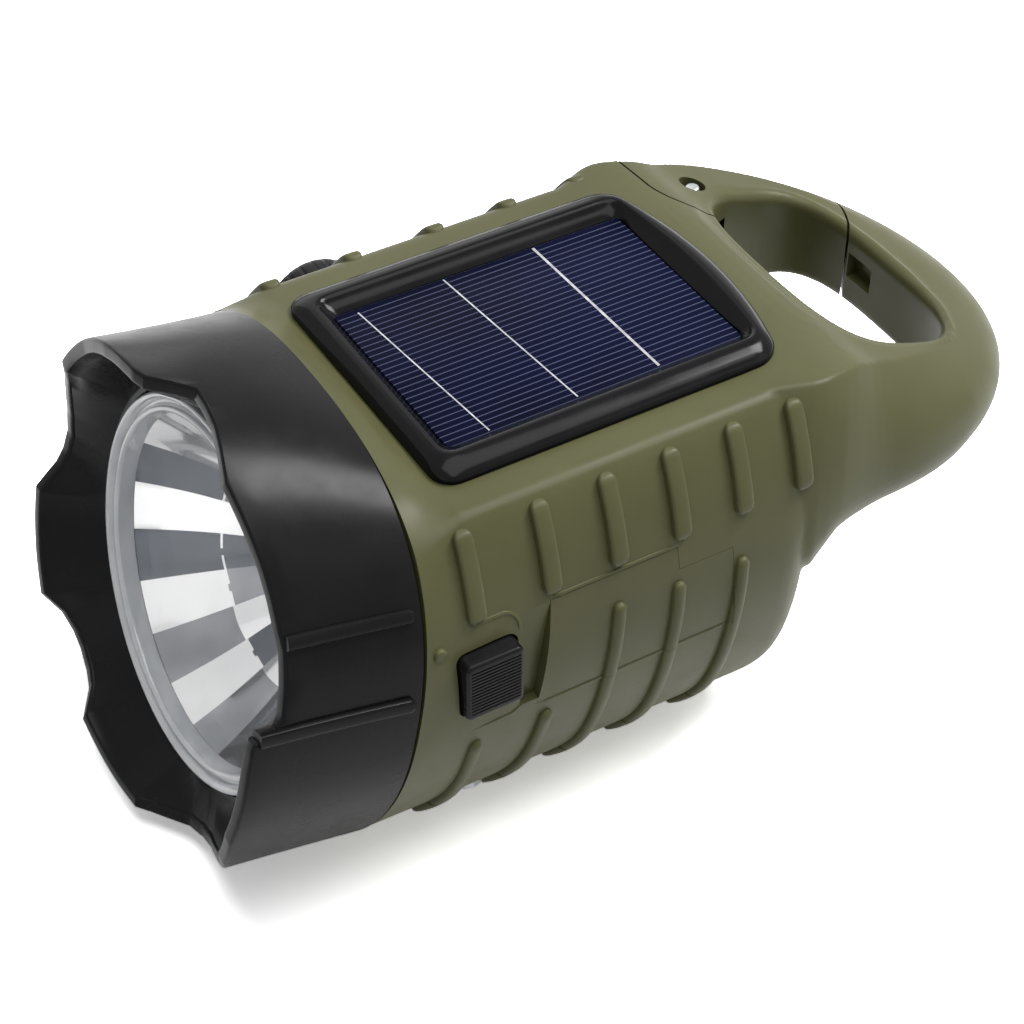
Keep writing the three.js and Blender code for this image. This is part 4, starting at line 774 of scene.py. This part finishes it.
# Places of the small parts on the near side
notch = {"frontTop": 25.9, "frontBottom": 24.9, "bottom": -3.9, "floor": -29.8}
button = {"front": 17.3, "rear": 24.7, "bottom": -1.2, "top": 7.2, "face": -32.6, "round": 0.9, "gap": 0.3,
          "grooves": 14, "depth": 0.14, "margin": 0.8, "grooveEnd": 0.55, "grooveShare": 0.22, "back": -27.1,
          "flange": 1.0, "flangeFace": -28.1, "roomBack": -19.4, "holeBack": -24}
stud = {"x": 15.3, "z": 8.6, "radius": 0.8, "face": -30.7, "back": -28.5}
port = {"front": 36.8, "rear": 43.2, "bottom": 0.4, "top": 3.8, "back": -23, "plugFace": -30.4,
        "plugBack": -26.1}
pad = {"front": 24.5, "rear": 55.5, "face": -33, "bottom": -7, "top": 11, "inset": 0.6}
pocket = {"front": 25.06, "rear": 66.3, "half": 14.46, "floor": 19.1}
neck = {"bore": 23.2, "boreFront": 4, "boreRear": 16,
        "profile": [(5.1, 23.2), (5.1, 26.2), (7.6, 26.2), (7.6, 25), (9.4, 25), (9.4, 26.2), (14.1, 26.2),
                    (14.1, 23.2)]}
screws = {"alongs": (24, 58), "half": 20, "boss": 3.7, "foot": -33, "inset": 0.4, "hole": 1.4, "top": -20,
          "mouth": 2.6, "mouthTop": -24.4}
gate = {"pinX": 81, "pinY": 19.8, "front": 7.5, "nose": 20.4, "shoulderX": 73.1, "shoulderY": 24.5,
        "gap": 0.32, "hole": 1.35, "pin": 1.0, "pinFoot": 0.7, "pinTop": 16.4, "holeFoot": 0.4,
        "holeTop": 11, "recess": 1.75, "recessFloor": 14.6, "tongueLow": 5, "tongueHigh": 9,
        "tongue": 4.2, "neckHalf": 2, "swing": math.radians(22), "springRoom": 2.6, "outside": 40,
        "overlap": 2}
latch = {"front": 94.5, "rear": 98.9, "near": 2.1, "far": 6.8, "low": 4.3, "high": 8.1}
crank = {"x": 55, "z": 1, "boss": 8, "bossFace": 31.2, "bossBack": 26.2, "bush": 4.7, "bushBack": 24,
         "throw": 18.7}
clear = 0.3  # room round a piece that moves or is fitted
past = 45  # a cut this far from the middle goes right out of the body


def gateOutline(grow):
    g = gate

    def arc(radius, start, end, count):
        turns = [math.radians(mix(start, end, k / (count - 1))) for k in range(count)]
        return [(g["pinX"] + radius * math.cos(a), g["pinY"] + radius * math.sin(a)) for a in turns]
    return ([(g["shoulderX"] - grow, g["outside"]), (g["shoulderX"] - grow, g["shoulderY"])]
            + arc(g["front"] + grow, 180, 264, 20) + arc(g["nose"] + grow, 320, 372, 16)
            + [(g["pinX"] + g["nose"] + g["overlap"], g["outside"])])


def layer(name, low, high):  # everything between two heights
    return block(name, (-past, -past, low), (3 * past, past, high))


def crankRod(name, radius, start, end):  # round the crank's axis
    return rod(name, radius, (crank["x"], start, crank["z"]), (crank["x"], end, crank["z"]))


def gateRod(name, radius, low, high, sides=64):  # round the gate's axis
    return rod(name, radius, (gate["pinX"], gate["pinY"], low), (gate["pinX"], gate["pinY"], high), sides)


def flangeBlock(name, grow, face, back):  # behind the switch's cap
    b, out = button, button["flange"] + grow
    return block(name, (b["front"] - out, face, b["bottom"] - out), (b["rear"] + out, back, b["top"] + out))


def cavityTools():  # the hollow inside the shells and the bore of the neck
    hollow = makeRound("hollow", inset=shell["wall"], back=0.2)
    carve(hollow, layer("roof", shell["ceiling"], past))
    front, rear, radius = neck["boreFront"], neck["boreRear"], neck["bore"]
    bore = lathe("bore", [(front, 0.01), (front, radius), (rear, radius), (rear, 0.01)])
    return [hollow, bore]


def makeShell():
    piece = twin(form, "mainShell")
    c, n, b, g, w, k, p = cover, notch, button, gate, latch, crank, port
    carve(piece, *cavityTools())
    boss = crankRod("boss", k["boss"], k["bossBack"], k["bossFace"])
    carve(piece, lathe("neck", neck["profile"]), padBlock(), boss, how="UNION")
    low = layer("low", -past, shell["seam"] + shell["part"])
    recess = plate("recess", coverOutline(c["gap"]), -past, c["back"], sideways)
    carve(recess, makeRound("recessFloor", inset=c["thick"] + clear))
    edge = [(n["frontBottom"], n["bottom"]), (c["frontBottom"] + clear, n["bottom"]),
            (c["frontTop"] + clear, c["top"]), (n["frontTop"], c["top"])]
    notchRoom = plate("notchRoom", edge, -past, n["floor"], sideways)
    hole = plate("hole", grownOutline(b, b["gap"]), -past, b["holeBack"], sideways)
    room = flangeBlock("flangeRoom", clear, b["flangeFace"] - clear, b["roomBack"])
    opening = block("port", (p["front"], -past, p["bottom"]), (p["rear"], p["back"], p["top"]))
    deckRoom = block("pocket", (pocket["front"], -pocket["half"], pocket["floor"]),
                     (pocket["rear"], pocket["half"], past))
    gateRoom = plate("gateRoom", gateOutline(g["gap"]), -past, past)
    bushHole = crankRod("bushHole", k["bush"] + clear, k["bushBack"], past)
    flat = block("flat", (k["x"] - k["boss"], k["bossFace"], k["z"] - k["boss"]),
                 (k["x"] + k["boss"], past, k["z"] + k["boss"]))
    window = block("latchWindow", (w["front"], w["near"], w["low"]), (w["rear"], w["far"], w["high"]))
    carve(piece, low, recess, notchRoom, hole, room, opening, deckRoom, gateRoom, flat, bushHole, window)
    tongue = gateRod("tongue", g["tongue"], g["tongueLow"], g["tongueHigh"])
    arm = block("arm", (g["shoulderX"] - g["overlap"], g["pinY"] - g["neckHalf"], g["tongueLow"]),
                (g["pinX"], g["pinY"] + g["neckHalf"], g["tongueHigh"]))
    x, z = stud["x"], stud["z"]
    dot = rod("dot", stud["radius"], (x, stud["face"], z), (x, stud["back"], z), 32)
    softEdges(dot, 0.3, 40, 3)
    carve(piece, carve(tongue, arm, how="UNION"), dot, how="UNION")
    carve(piece, gateRod("pinHole", g["hole"], g["holeFoot"], g["holeTop"], 32))
    return smoothShade(paint(settle(piece, "mainShell"), finishes["olive_plastic"]))


def padBlock():  # the thick wall behind the cover
    p = pad
    wall = block("pad", (p["front"], p["face"], p["bottom"]), (p["rear"], cover["back"], p["top"]))
    return carve(wall, makeRound("padLimit", inset=p["inset"]), how="INTERSECT")


def makePan():
    piece, r = twin(form, "bottomPan"), screws
    carve(piece, *cavityTools())
    carve(piece, layer("high", shell["seam"] - shell["part"], past))
    bosses, holes = [], []
    for x in r["alongs"]:
        for y in (-r["half"], r["half"]):
            boss = rod("screwBoss", r["boss"], (x, y, r["foot"]), (x, y, shell["seam"] - shell["part"]))
            bosses.append(carve(boss, makeRound("bossLimit", inset=r["inset"]), how="INTERSECT"))
            holes.append(rod("screwHole", r["hole"], (x, y, -past), (x, y, r["top"]), 32))
            holes.append(rod("screwMouth", r["mouth"], (x, y, -past), (x, y, r["mouthTop"]), 48))
    carve(piece, *bosses, how="UNION")
    carve(piece, *holes)
    return smoothShade(paint(settle(piece, "bottomPan"), finishes["olive_plastic"]))


def makeCover():
    c, p = cover, port
    piece = twin(form, "sideCover")
    edge = plate("coverEdge", coverOutline(0), -past, c["back"] - shell["part"], sideways)
    carve(piece, edge, how="INTERSECT")
    carve(piece, makeRound("coverBack", inset=c["thick"]))
    plug = block("plug", (p["front"] + clear, p["plugFace"], p["bottom"] + clear),
                 (p["rear"] - clear, p["plugBack"], p["top"] - clear))
    carve(piece, softEdges(plug, 0.3), how="UNION")
    return smoothShade(paint(settle(piece, "sideCover"), finishes["olive_plastic"]))


def makeGate():
    g = gate
    piece = twin(form, "snapGate")
    carve(piece, plate("gateEdge", gateOutline(0), -past, past), how="INTERSECT")
    low, high = g["tongueLow"] - clear, g["tongueHigh"] + g["springRoom"] + clear
    fork = gateRod("fork", g["tongue"] + clear, low, high)
    half, reach, x, y = g["neckHalf"] + clear, g["front"] + g["overlap"], g["pinX"], g["pinY"]
    c, s = math.cos(g["swing"]), math.sin(g["swing"])
    corners = [(x, y + half), (x - reach, y + half), (x - reach * c + half * s, y - reach * s - half * c),
               (x + half * s, y - half * c)]
    mouth = plate("mouth", corners, low, high)
    pinHole = gateRod("pinHole", g["hole"], g["holeFoot"], past, 48)
    recess = gateRod("pinRecess", g["recess"], g["recessFloor"], past)
    carve(piece, carve(fork, mouth, how="UNION"), pinHole, recess)
    return smoothShade(paint(settle(piece, "snapGate"), finishes["olive_plastic"]))


# Solar frame and cell
solarFrame = {"front": 22, "rear": 67, "half": 19, "bulge": 3.4, "corner": 2.8, "windowCorner": 0.9,
              "windowGap": 0.1, "bulgeFrom": 0.8}
tray = {"front": 25.1, "rear": 66.25, "half": 14.4, "foot": 19.5, "top": 20.9, "wall": 0.6}
# The share of the way in to the window, and the height there
frameRows = ((0, 20.7), (0, 21.25), (0.06, 21.6), (0.18, 22.05), (0.34, 22.45), (0.46, 22.62), (0.56, 22.66),
             (0.63, 22.55), (0.68, 22.25), (0.80, 21.75), (0.97, 21.2), (1.0, 20.95), (1.0, 20.75),
             (0.5, 20.7))


def frameOutline(share, count=240):  # rounded, between the frame's outer edge and the cell's window
    f, s = solarFrame, solar
    radius, gap = mix(f["corner"], f["windowCorner"], share), f["windowGap"]
    x0, x1 = mix(f["front"], s["front"] - gap, share), mix(f["rear"], s["rear"] + gap, share)
    half = mix(f["half"], s["half"] + gap, share)
    corners = roundedOutline(x0, x1, -half, half, radius, 10)
    points = []
    bulge = mix(f["bulge"], 0, share)
    loop = corners + corners[:1]
    lengths = [math.dist(a, b) for a, b in zip(loop, loop[1:])]
    total = sum(lengths)
    walked, at = 0.0, 0
    for k in range(count):
        target = total * k / count
        while walked + lengths[at] < target:
            walked += lengths[at]
            at += 1
        part = (target - walked) / lengths[at]
        x, y = mix(loop[at][0], loop[at + 1][0], part), mix(loop[at][1], loop[at + 1][1], part)
        rearness = clamp((x - mix(x0, x1, f["bulgeFrom"])) / ((1 - f["bulgeFrom"]) * (x1 - x0)))
        points.append((x + bulge * rearness * (1 - (y / half) ** 2), y))
    return points


def makeSolarFrame():
    rows = [(frameOutline(share), z) for share, z in frameRows]
    count = len(rows[0][0])

    def place(i, j):
        outline, z = rows[j % len(rows)]
        return (*outline[i % count], z)
    piece = wrapSkin("solarFrame", count, len(rows), place)
    t = tray
    box = block("tray", (t["front"], -t["half"], t["foot"]), (t["rear"], t["half"], t["top"]))
    wall, half = t["wall"], t["half"] - t["wall"]
    room = block("trayRoom", (t["front"] + wall, -half, t["foot"] + wall), (t["rear"] - wall, half, past))
    carve(piece, carve(box, room), how="UNION")
    return smoothShade(paint(settle(piece, "solarFrame"), finishes["gloss_black_plastic"]), 50)


def makeSolarCell():
    s = solar
    cell = block("solarCell", (s["front"], -s["half"], 20.4), (s["rear"], s["half"], s["top"]))
    softEdges(cell, 0.12)
    paint(cell, finishes["cell_glass"])
    bars = []
    for k, (farX, farY, nearX, nearY, half) in enumerate(s["bars"]):
        outline = [(nearX - half, nearY), (nearX + half, nearY), (farX + half, farY), (farX - half, farY)]
        bar = plate(f"busBar{k + 1}", outline, s["top"] - 0.05, s["top"] + 0.04)
        bars.append(paint(bar, silverPrint))
    return smoothShade(cell), bars


# Lens, ring, mirror and lamp
mirror = {"petals": 20, "sub": 5, "front": 1.9, "depth": 16.0, "mouth": 21.5, "hole": 4.4, "wall": 0.9,
          "flange": 3.9, "crease": 0.6, "creaseHalf": 0.006, "firstPetal": 89}
# The tone of each petal, outer part and inner part, from the first one on: 0 bright, 1 grey, 2 slate; grey
# and slate are painted reflections
petalPaintedReflections = ((0, 1), (1, 0), (0, 0), (0, 0), (2, 1), (0, 0), (2, 2), (0, 1), (1, 0), (0, 2), (1, 0), (2, 1),
              (0, 0), (1, 2), (0, 0), (2, 1), (0, 0), (1, 0), (0, 2), (2, 0))


# A bowl of flat petals round the lamp, with a fine crease across them, its petals painted with reflection
# tones
def makeMirror():
    m = mirror
    crease = [m["crease"] + m["creaseHalf"], m["crease"] - m["creaseHalf"]]
    shares = [1.0, 0.9, 0.8, 0.7, *crease, 0.45, 0.3, 0.15, 0.0]
    radii = [mix(m["hole"], m["mouth"], share) for share in shares]
    around = m["petals"] * m["sub"]
    lean = [random.uniform(-0.25, 0.25) for petal in range(m["petals"])]

    def bowl(radius):
        return m["front"] + m["depth"] * (1 - (radius / m["mouth"]) ** 2)
    rows = [(bowl(r), r) for r in radii]
    rows += [(bowl(r) + m["wall"], r + 0.3) for r in reversed(radii[1:])]
    rows += [(m["flange"] + 1.1, m["mouth"] + 0.4), (m["flange"] + 1.1, 26), (m["flange"], 26),
             (m["flange"], m["mouth"] + 0.4), (m["front"], m["mouth"] + 0.4)]

    def place(i, j):
        along, radius = rows[j % len(rows)]
        petal, step = divmod(i % around, m["sub"])
        turn = math.radians(180 - m["firstPetal"] - 360 * (i % around) / around)
        if 0 < j < len(radii):
            half = math.pi / m["petals"]
            radius *= math.cos(half) / math.cos(2 * half * step / m["sub"] - half)
            along += lean[petal] * math.sin(math.pi * step / m["sub"])
        return along, radius * math.cos(turn), radius * math.sin(turn)
    piece = wrapSkin("reflector", around, len(rows), place, headSpot)
    piece = smoothShade(settle(piece, "reflector"), 11)
    piece.data.materials.clear()
    for tone in mirrorCoatAndPaintedReflections:
        piece.data.materials.append(tone)
    middle = headSpot(0, 0, 0)
    up = headSpot(0, 0, 1) - middle
    # Each petal face gets the bright coat or a painted reflection tone; the crease and the flange keep the
    # bright coat
    for face in piece.data.polygons:
        away = face.center - middle
        z, y = away.dot(up) / up.dot(up), away.y / mm
        degrees = (180 - math.degrees(math.atan2(z, y)) - m["firstPetal"]) % 360
        outer, inner = petalPaintedReflections[int(degrees / 360 * m["petals"]) % m["petals"]]
        share = (math.hypot(y, z) - m["hole"]) / (m["mouth"] - m["hole"])
        onCrease = abs(share - m["crease"]) < m["creaseHalf"] * 1.5
        face.material_index = 0 if onCrease or share > 1 else outer if share > m["crease"] else inner
    return piece


def makeLens():
    glass = lathe("frontLens", [(-0.2, 0.01), (-0.2, 21.3), (1.4, 21.3), (1.4, 0.01)], 160)
    paint(glass, finishes["clear_plastic"])
    ringProfile = [(1.8, 21.35), (-0.2, 21.35), (-0.55, 21.55), (-0.65, 21.9), (-0.45, 22.25), (0.1, 22.5),
                   (0.12, 22.7), (-0.5, 22.95), (-0.85, 23.3), (-0.9, 23.6), (-0.7, 23.85), (-0.2, 24.0),
                   (1.8, 24.0)]
    ring = paint(lathe("lensRing", ringProfile, 200), ringPlastic)
    return smoothShade(glass), smoothShade(ring, 50)


def makeLamp():
    profile = [(19.2, 0.01), (19.2, 3.0), (17.2, 3.0), (17.2, 2.4), (16.9, 2.35), (16.4, 2.0), (16.0, 1.4),
               (15.85, 0.7), (15.8, 0.01)]
    return smoothShade(paint(lathe("ledEmitter", profile, 48), finishes["white_plastic"]), 50)


# Button, pins and crank
def makeButton():
    b = button
    cap = plate("powerButton", grownOutline(b, 0), b["face"], b["back"], sideways)
    softEdges(cap, 0.45, 50, 4)
    carve(cap, flangeBlock("flange", 0, b["flangeFace"], b["back"]), how="UNION")
    pitch = (b["top"] - b["bottom"] - 2 * b["margin"]) / b["grooves"]
    for k in range(b["grooves"]):
        z = b["bottom"] + b["margin"] + pitch * (k + 0.5)
        groove = block("groove", (b["front"] + b["grooveEnd"], b["face"] - 1, z - pitch * b["grooveShare"]),
                       (b["rear"] - b["grooveEnd"], b["face"] + b["depth"], z + pitch * b["grooveShare"]))
        carve(cap, groove)
    return smoothShade(paint(settle(cap, "powerButton"), finishes["black_plastic"]), 30)


def makeGatePin():
    pin = gateRod("gatePin", gate["pin"], gate["pinFoot"], gate["pinTop"], 48)
    return smoothShade(paint(softEdges(pin, 0.35, 50, 4), finishes["steel_parts"]), 50)


def yLathe(name, profile, x, z, sides=96, wave=None):
    def to(along, a, b):
        return spot(x + a, along, z + b)
    return lathe(name, profile, sides, to, wave)


knobShape = {"radius": 6.8, "inner": 35.3, "side": 35.5, "shoulder": 40.3, "dome": 1.6, "bore": 1.9,
             "seat": [(41.9, 3.6), (41.7, 3.3), (39.8, 3.1)], "flutes": 24, "fluteShare": 0.022}


def makeKnob():  # shallow flutes and a softly domed end round the pin's head
    k = knobShape
    r, dome, end = k["radius"], k["dome"], k["seat"][0][0]
    profile = [(k["inner"], k["bore"]), (k["inner"], r - 0.3), (k["side"], r)]
    profile += [(mix(k["side"], k["shoulder"], step / 6), r) for step in range(1, 7)]
    profile += [(k["shoulder"] + dome * math.sin(a), r - dome * (1 - math.cos(a)))
                for a in map(math.radians, (20, 40, 60, 80, 90))]
    profile += k["seat"] + [(k["seat"][-1][0], k["bore"])]

    def flutes(turn, along):
        depth = clamp((along - k["side"] - 0.1) / 0.5) * clamp((end - 0.3 - along) / 0.8)
        return 1 - k["fluteShare"] * depth * max(0.0, math.cos(k["flutes"] * turn)) ** 3
    knob = yLathe("crankKnob", profile, crank["x"] - crank["throw"], crank["z"], 256, flutes)
    return smoothShade(paint(knob, finishes["black_plastic"]), 50)


armShape = {"hub": 6, "tip": 4.2, "inner": 32.5, "outer": 35.0, "panelHub": 1.7, "panelTip": 1.5,
            "panelFromHub": 6.8, "panelFromTip": 8.2, "panelDepth": 0.5, "hex": 2.5, "bore": 1.9}


def makeArm():  # a flat tapering bar with soft edges and a shallow sunk panel
    x1, x0, z, s = crank["x"], crank["x"] - crank["throw"], crank["z"], armShape

    def outline(hub, tip, hubX=x1, tipX=x0):
        bends = [(hubX, hub, math.radians(a)) for a in range(-90, 91, 9)]
        bends += [(tipX, tip, math.radians(a)) for a in range(90, 271, 9)]
        return [(x + reach * math.cos(a), z + reach * math.sin(a)) for x, reach, a in bends]
    arm = plate("crankArm", outline(s["hub"], s["tip"]), s["inner"], s["outer"], sideways)
    softEdges(arm, 0.5, 50, 4)
    sunk = outline(s["panelHub"], s["panelTip"], x1 - s["panelFromHub"], x0 + s["panelFromTip"])
    panel = plate("armPanel", sunk, s["outer"] - s["panelDepth"], past, sideways)
    hexHole = rod("hexHole", s["hex"], (x1, 30, z), (x1, 37, z), 6)
    pinHole = rod("pinHole", s["bore"], (x0, 30, z), (x0, 37, z), 48)
    carve(arm, panel, hexHole, pinHole)
    return smoothShade(paint(settle(arm, "crankArm"), finishes["black_plastic"]), 30)


def makeCrankScrew():
    x, z = crank["x"], crank["z"]
    profile = [(28.3, 0.01), (28.3, 1.0), (35.3, 1.0), (35.3, 3.4), (35.9, 3.4), (36.3, 3.1), (36.6, 2.4),
               (36.6, 0.01)]
    screw = yLathe("crankScrew", profile, x, z, 64)
    for turned in (False, True):
        reach = (2.0, 0.35) if turned else (0.35, 2.0)
        carve(screw, block("cross", (x - reach[0], 35.9, z - reach[1]), (x + reach[0], 38, z + reach[1])))
    return smoothShade(paint(settle(screw, "crankScrew"), finishes["steel_parts"]), 30)


def dress(piece, bodyName, slot, *nodes):
    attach(piece, bodyName)
    if nodes:
        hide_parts(*nodes)
    return piece


dress(makeCrown(), "housing", "black_plastic", "bezel_crown")
print("crown done")
dress(makeShell(), "housing", "olive_plastic", "main_shell")
dress(makePan(), "housing", "olive_plastic", "bottom_pan")
dress(makeCover(), "cover", "olive_plastic", "side_cover")
dress(makeGate(), "gate", "olive_plastic", "snap_gate")
bpy.data.objects.remove(form)
print("shells done")
dress(makeSolarFrame(), "housing", "gloss_black_plastic", "solar_frame")
cell, busBars = makeSolarCell()
dress(cell, "housing", "cell_glass", "solar_cell")
for bar in busBars:
    dress(bar, "housing", "steel_parts")
glass, lensRing = makeLens()
dress(glass, "housing", "clear_plastic", "front_lens")
dress(lensRing, "housing", "clear_plastic")
dress(makeMirror(), "housing", "mirror_coat", "reflector")
dress(makeLamp(), "housing", "white_plastic", "led_emitter")
print("lamp done")
dress(makeButton(), "button", "black_plastic", "power_button")
dress(makeGatePin(), "housing", "steel_parts", "gate_pin")
dress(makeKnob(), "knob", "black_plastic", "crank_knob")
dress(makeArm(), "crank", "black_plastic", "crank_arm")
dress(makeCrankScrew(), "crank", "steel_parts", "crank_screw")

# The nodes that stay as they are get their finishes
slotOf = {part["node"]: part["material_slot"] for part in frame["record"]["subparts"]}
for nodeName, node in frame["nodes"].items():
    paint(node, finishes[slotOf[nodeName]])
print("small parts done")

# Camera at the photograph's angle
view = {"azimuth": math.radians(-31.05), "elevation": math.radians(42.49), "roll": math.radians(0.447),
        "place": (-75.5, -195.9, 202.6), "lens": 87.9, "sensor": 36}


def addCamera():
    az, el, roll = view["azimuth"], view["elevation"], view["roll"]
    back = Vector((math.sin(az) * math.cos(el), -math.cos(az) * math.cos(el), math.sin(el)))
    right = Vector((0, 0, 1)).cross(back).normalized()
    up = back.cross(right)
    turnedRight = right * math.cos(roll) + up * math.sin(roll)
    turnedUp = up * math.cos(roll) - right * math.sin(roll)
    bpy.ops.object.camera_add()
    camera = bpy.context.object
    camera.matrix_world = Matrix.Translation(spot(*view["place"])) @ Matrix(
        (turnedRight, turnedUp, back)).transposed().to_4x4()
    camera.data.lens = view["lens"]
    camera.data.sensor_width = view["sensor"]
    bpy.context.scene.camera = camera


lamps = {  # place and size in metres, then power
    "top": ((0.05, -0.10, 0.75), 0.6, 3.7),
    "high": ((0.50, -0.04, 0.66), 0.26, 4.8),
    "nearRight": ((0.55, -0.45, 0.45), 0.45, 0.5),
    "left": ((-0.65, -0.25, 0.30), 0.5, 0.2),
    "back": ((0.1, 0.7, 0.4), 0.6, 1.2),
}


def addLamps():
    for name, (place, size, power) in lamps.items():
        bpy.ops.object.light_add(type="AREA", location=place)
        lamp = bpy.context.object
        lamp.name = name
        lamp.data.size = size
        lamp.data.energy = power
        lamp.rotation_mode = "QUATERNION"
        lamp.rotation_quaternion = (Vector(place) - Vector((0.01, 0, 0.03))).to_track_quat("Z", "Y")


# Camera and transmission rays meet the white background, glossy rays a share of it
def whiteRays(tree, glossShare):
    rays = tree.nodes.new("ShaderNodeLightPath")
    meets = rays.outputs["Is Camera Ray"]
    for kind, share in (("Is Glossy Ray", glossShare), ("Is Transmission Ray", 1.0)):
        part = tree.nodes.new("ShaderNodeMath")
        part.operation = "MULTIPLY"
        part.inputs[1].default_value = share
        either = tree.nodes.new("ShaderNodeMath")
        either.operation = "MAXIMUM"
        tree.links.new(rays.outputs[kind], part.inputs[0])
        tree.links.new(meets, either.inputs[0])
        tree.links.new(part.outputs["Value"], either.inputs[1])
        meets = either.outputs["Value"]
    return meets


def addWorld():
    world = bpy.data.worlds.new("studio")
    bpy.context.scene.world = world
    world.use_nodes = True
    tree = world.node_tree
    light = tree.nodes["Background"]
    light.inputs["Color"].default_value = (1, 1, 1, 1)
    light.inputs["Strength"].default_value = 0.11
    seen = tree.nodes.new("ShaderNodeBackground")
    seen.inputs["Color"].default_value = (1, 1, 1, 1)
    seen.inputs["Strength"].default_value = 1.0
    blend = tree.nodes.new("ShaderNodeMixShader")
    tree.links.new(whiteRays(tree, 0.9), blend.inputs["Fac"])
    tree.links.new(light.outputs["Background"], blend.inputs[1])
    tree.links.new(seen.outputs["Background"], blend.inputs[2])
    tree.links.new(blend.outputs["Shader"], tree.nodes["World Output"].inputs["Surface"])


floorLook = {"size": 6, "layers": 3, "glow": 0.26, "gloss": 0.25}


def addFloor():  # pale paper, brighter where it is seen than in the light that it gives back
    bpy.ops.mesh.primitive_plane_add(size=floorLook["size"], location=(0, 0, 0))
    floor = bpy.context.object
    floor.name = "floor"
    finish, tree, plain = newFinish("paleFloor", (0.6, 0.6, 0.6), 0.9)
    glow = tree.nodes.new("ShaderNodeEmission")
    glow.inputs["Strength"].default_value = floorLook["glow"]
    bright = glow.outputs["Emission"]
    for _ in range(floorLook["layers"]):
        paper = tree.nodes.new("ShaderNodeBsdfDiffuse")
        paper.inputs["Color"].default_value = (1, 1, 1, 1)
        both = tree.nodes.new("ShaderNodeAddShader")
        tree.links.new(bright, both.inputs[0])
        tree.links.new(paper.outputs["BSDF"], both.inputs[1])
        bright = both.outputs["Shader"]
    blend = tree.nodes.new("ShaderNodeMixShader")
    tree.links.new(whiteRays(tree, floorLook["gloss"]), blend.inputs["Fac"])
    tree.links.new(plain.outputs["BSDF"], blend.inputs[1])
    tree.links.new(bright, blend.inputs[2])
    tree.links.new(blend.outputs["Shader"], tree.nodes["Material Output"].inputs["Surface"])
    paint(floor, finish)


addCamera()
addLamps()
addWorld()
addFloor()
bpy.context.scene.view_settings.view_transform = "Standard"
print("stage set")
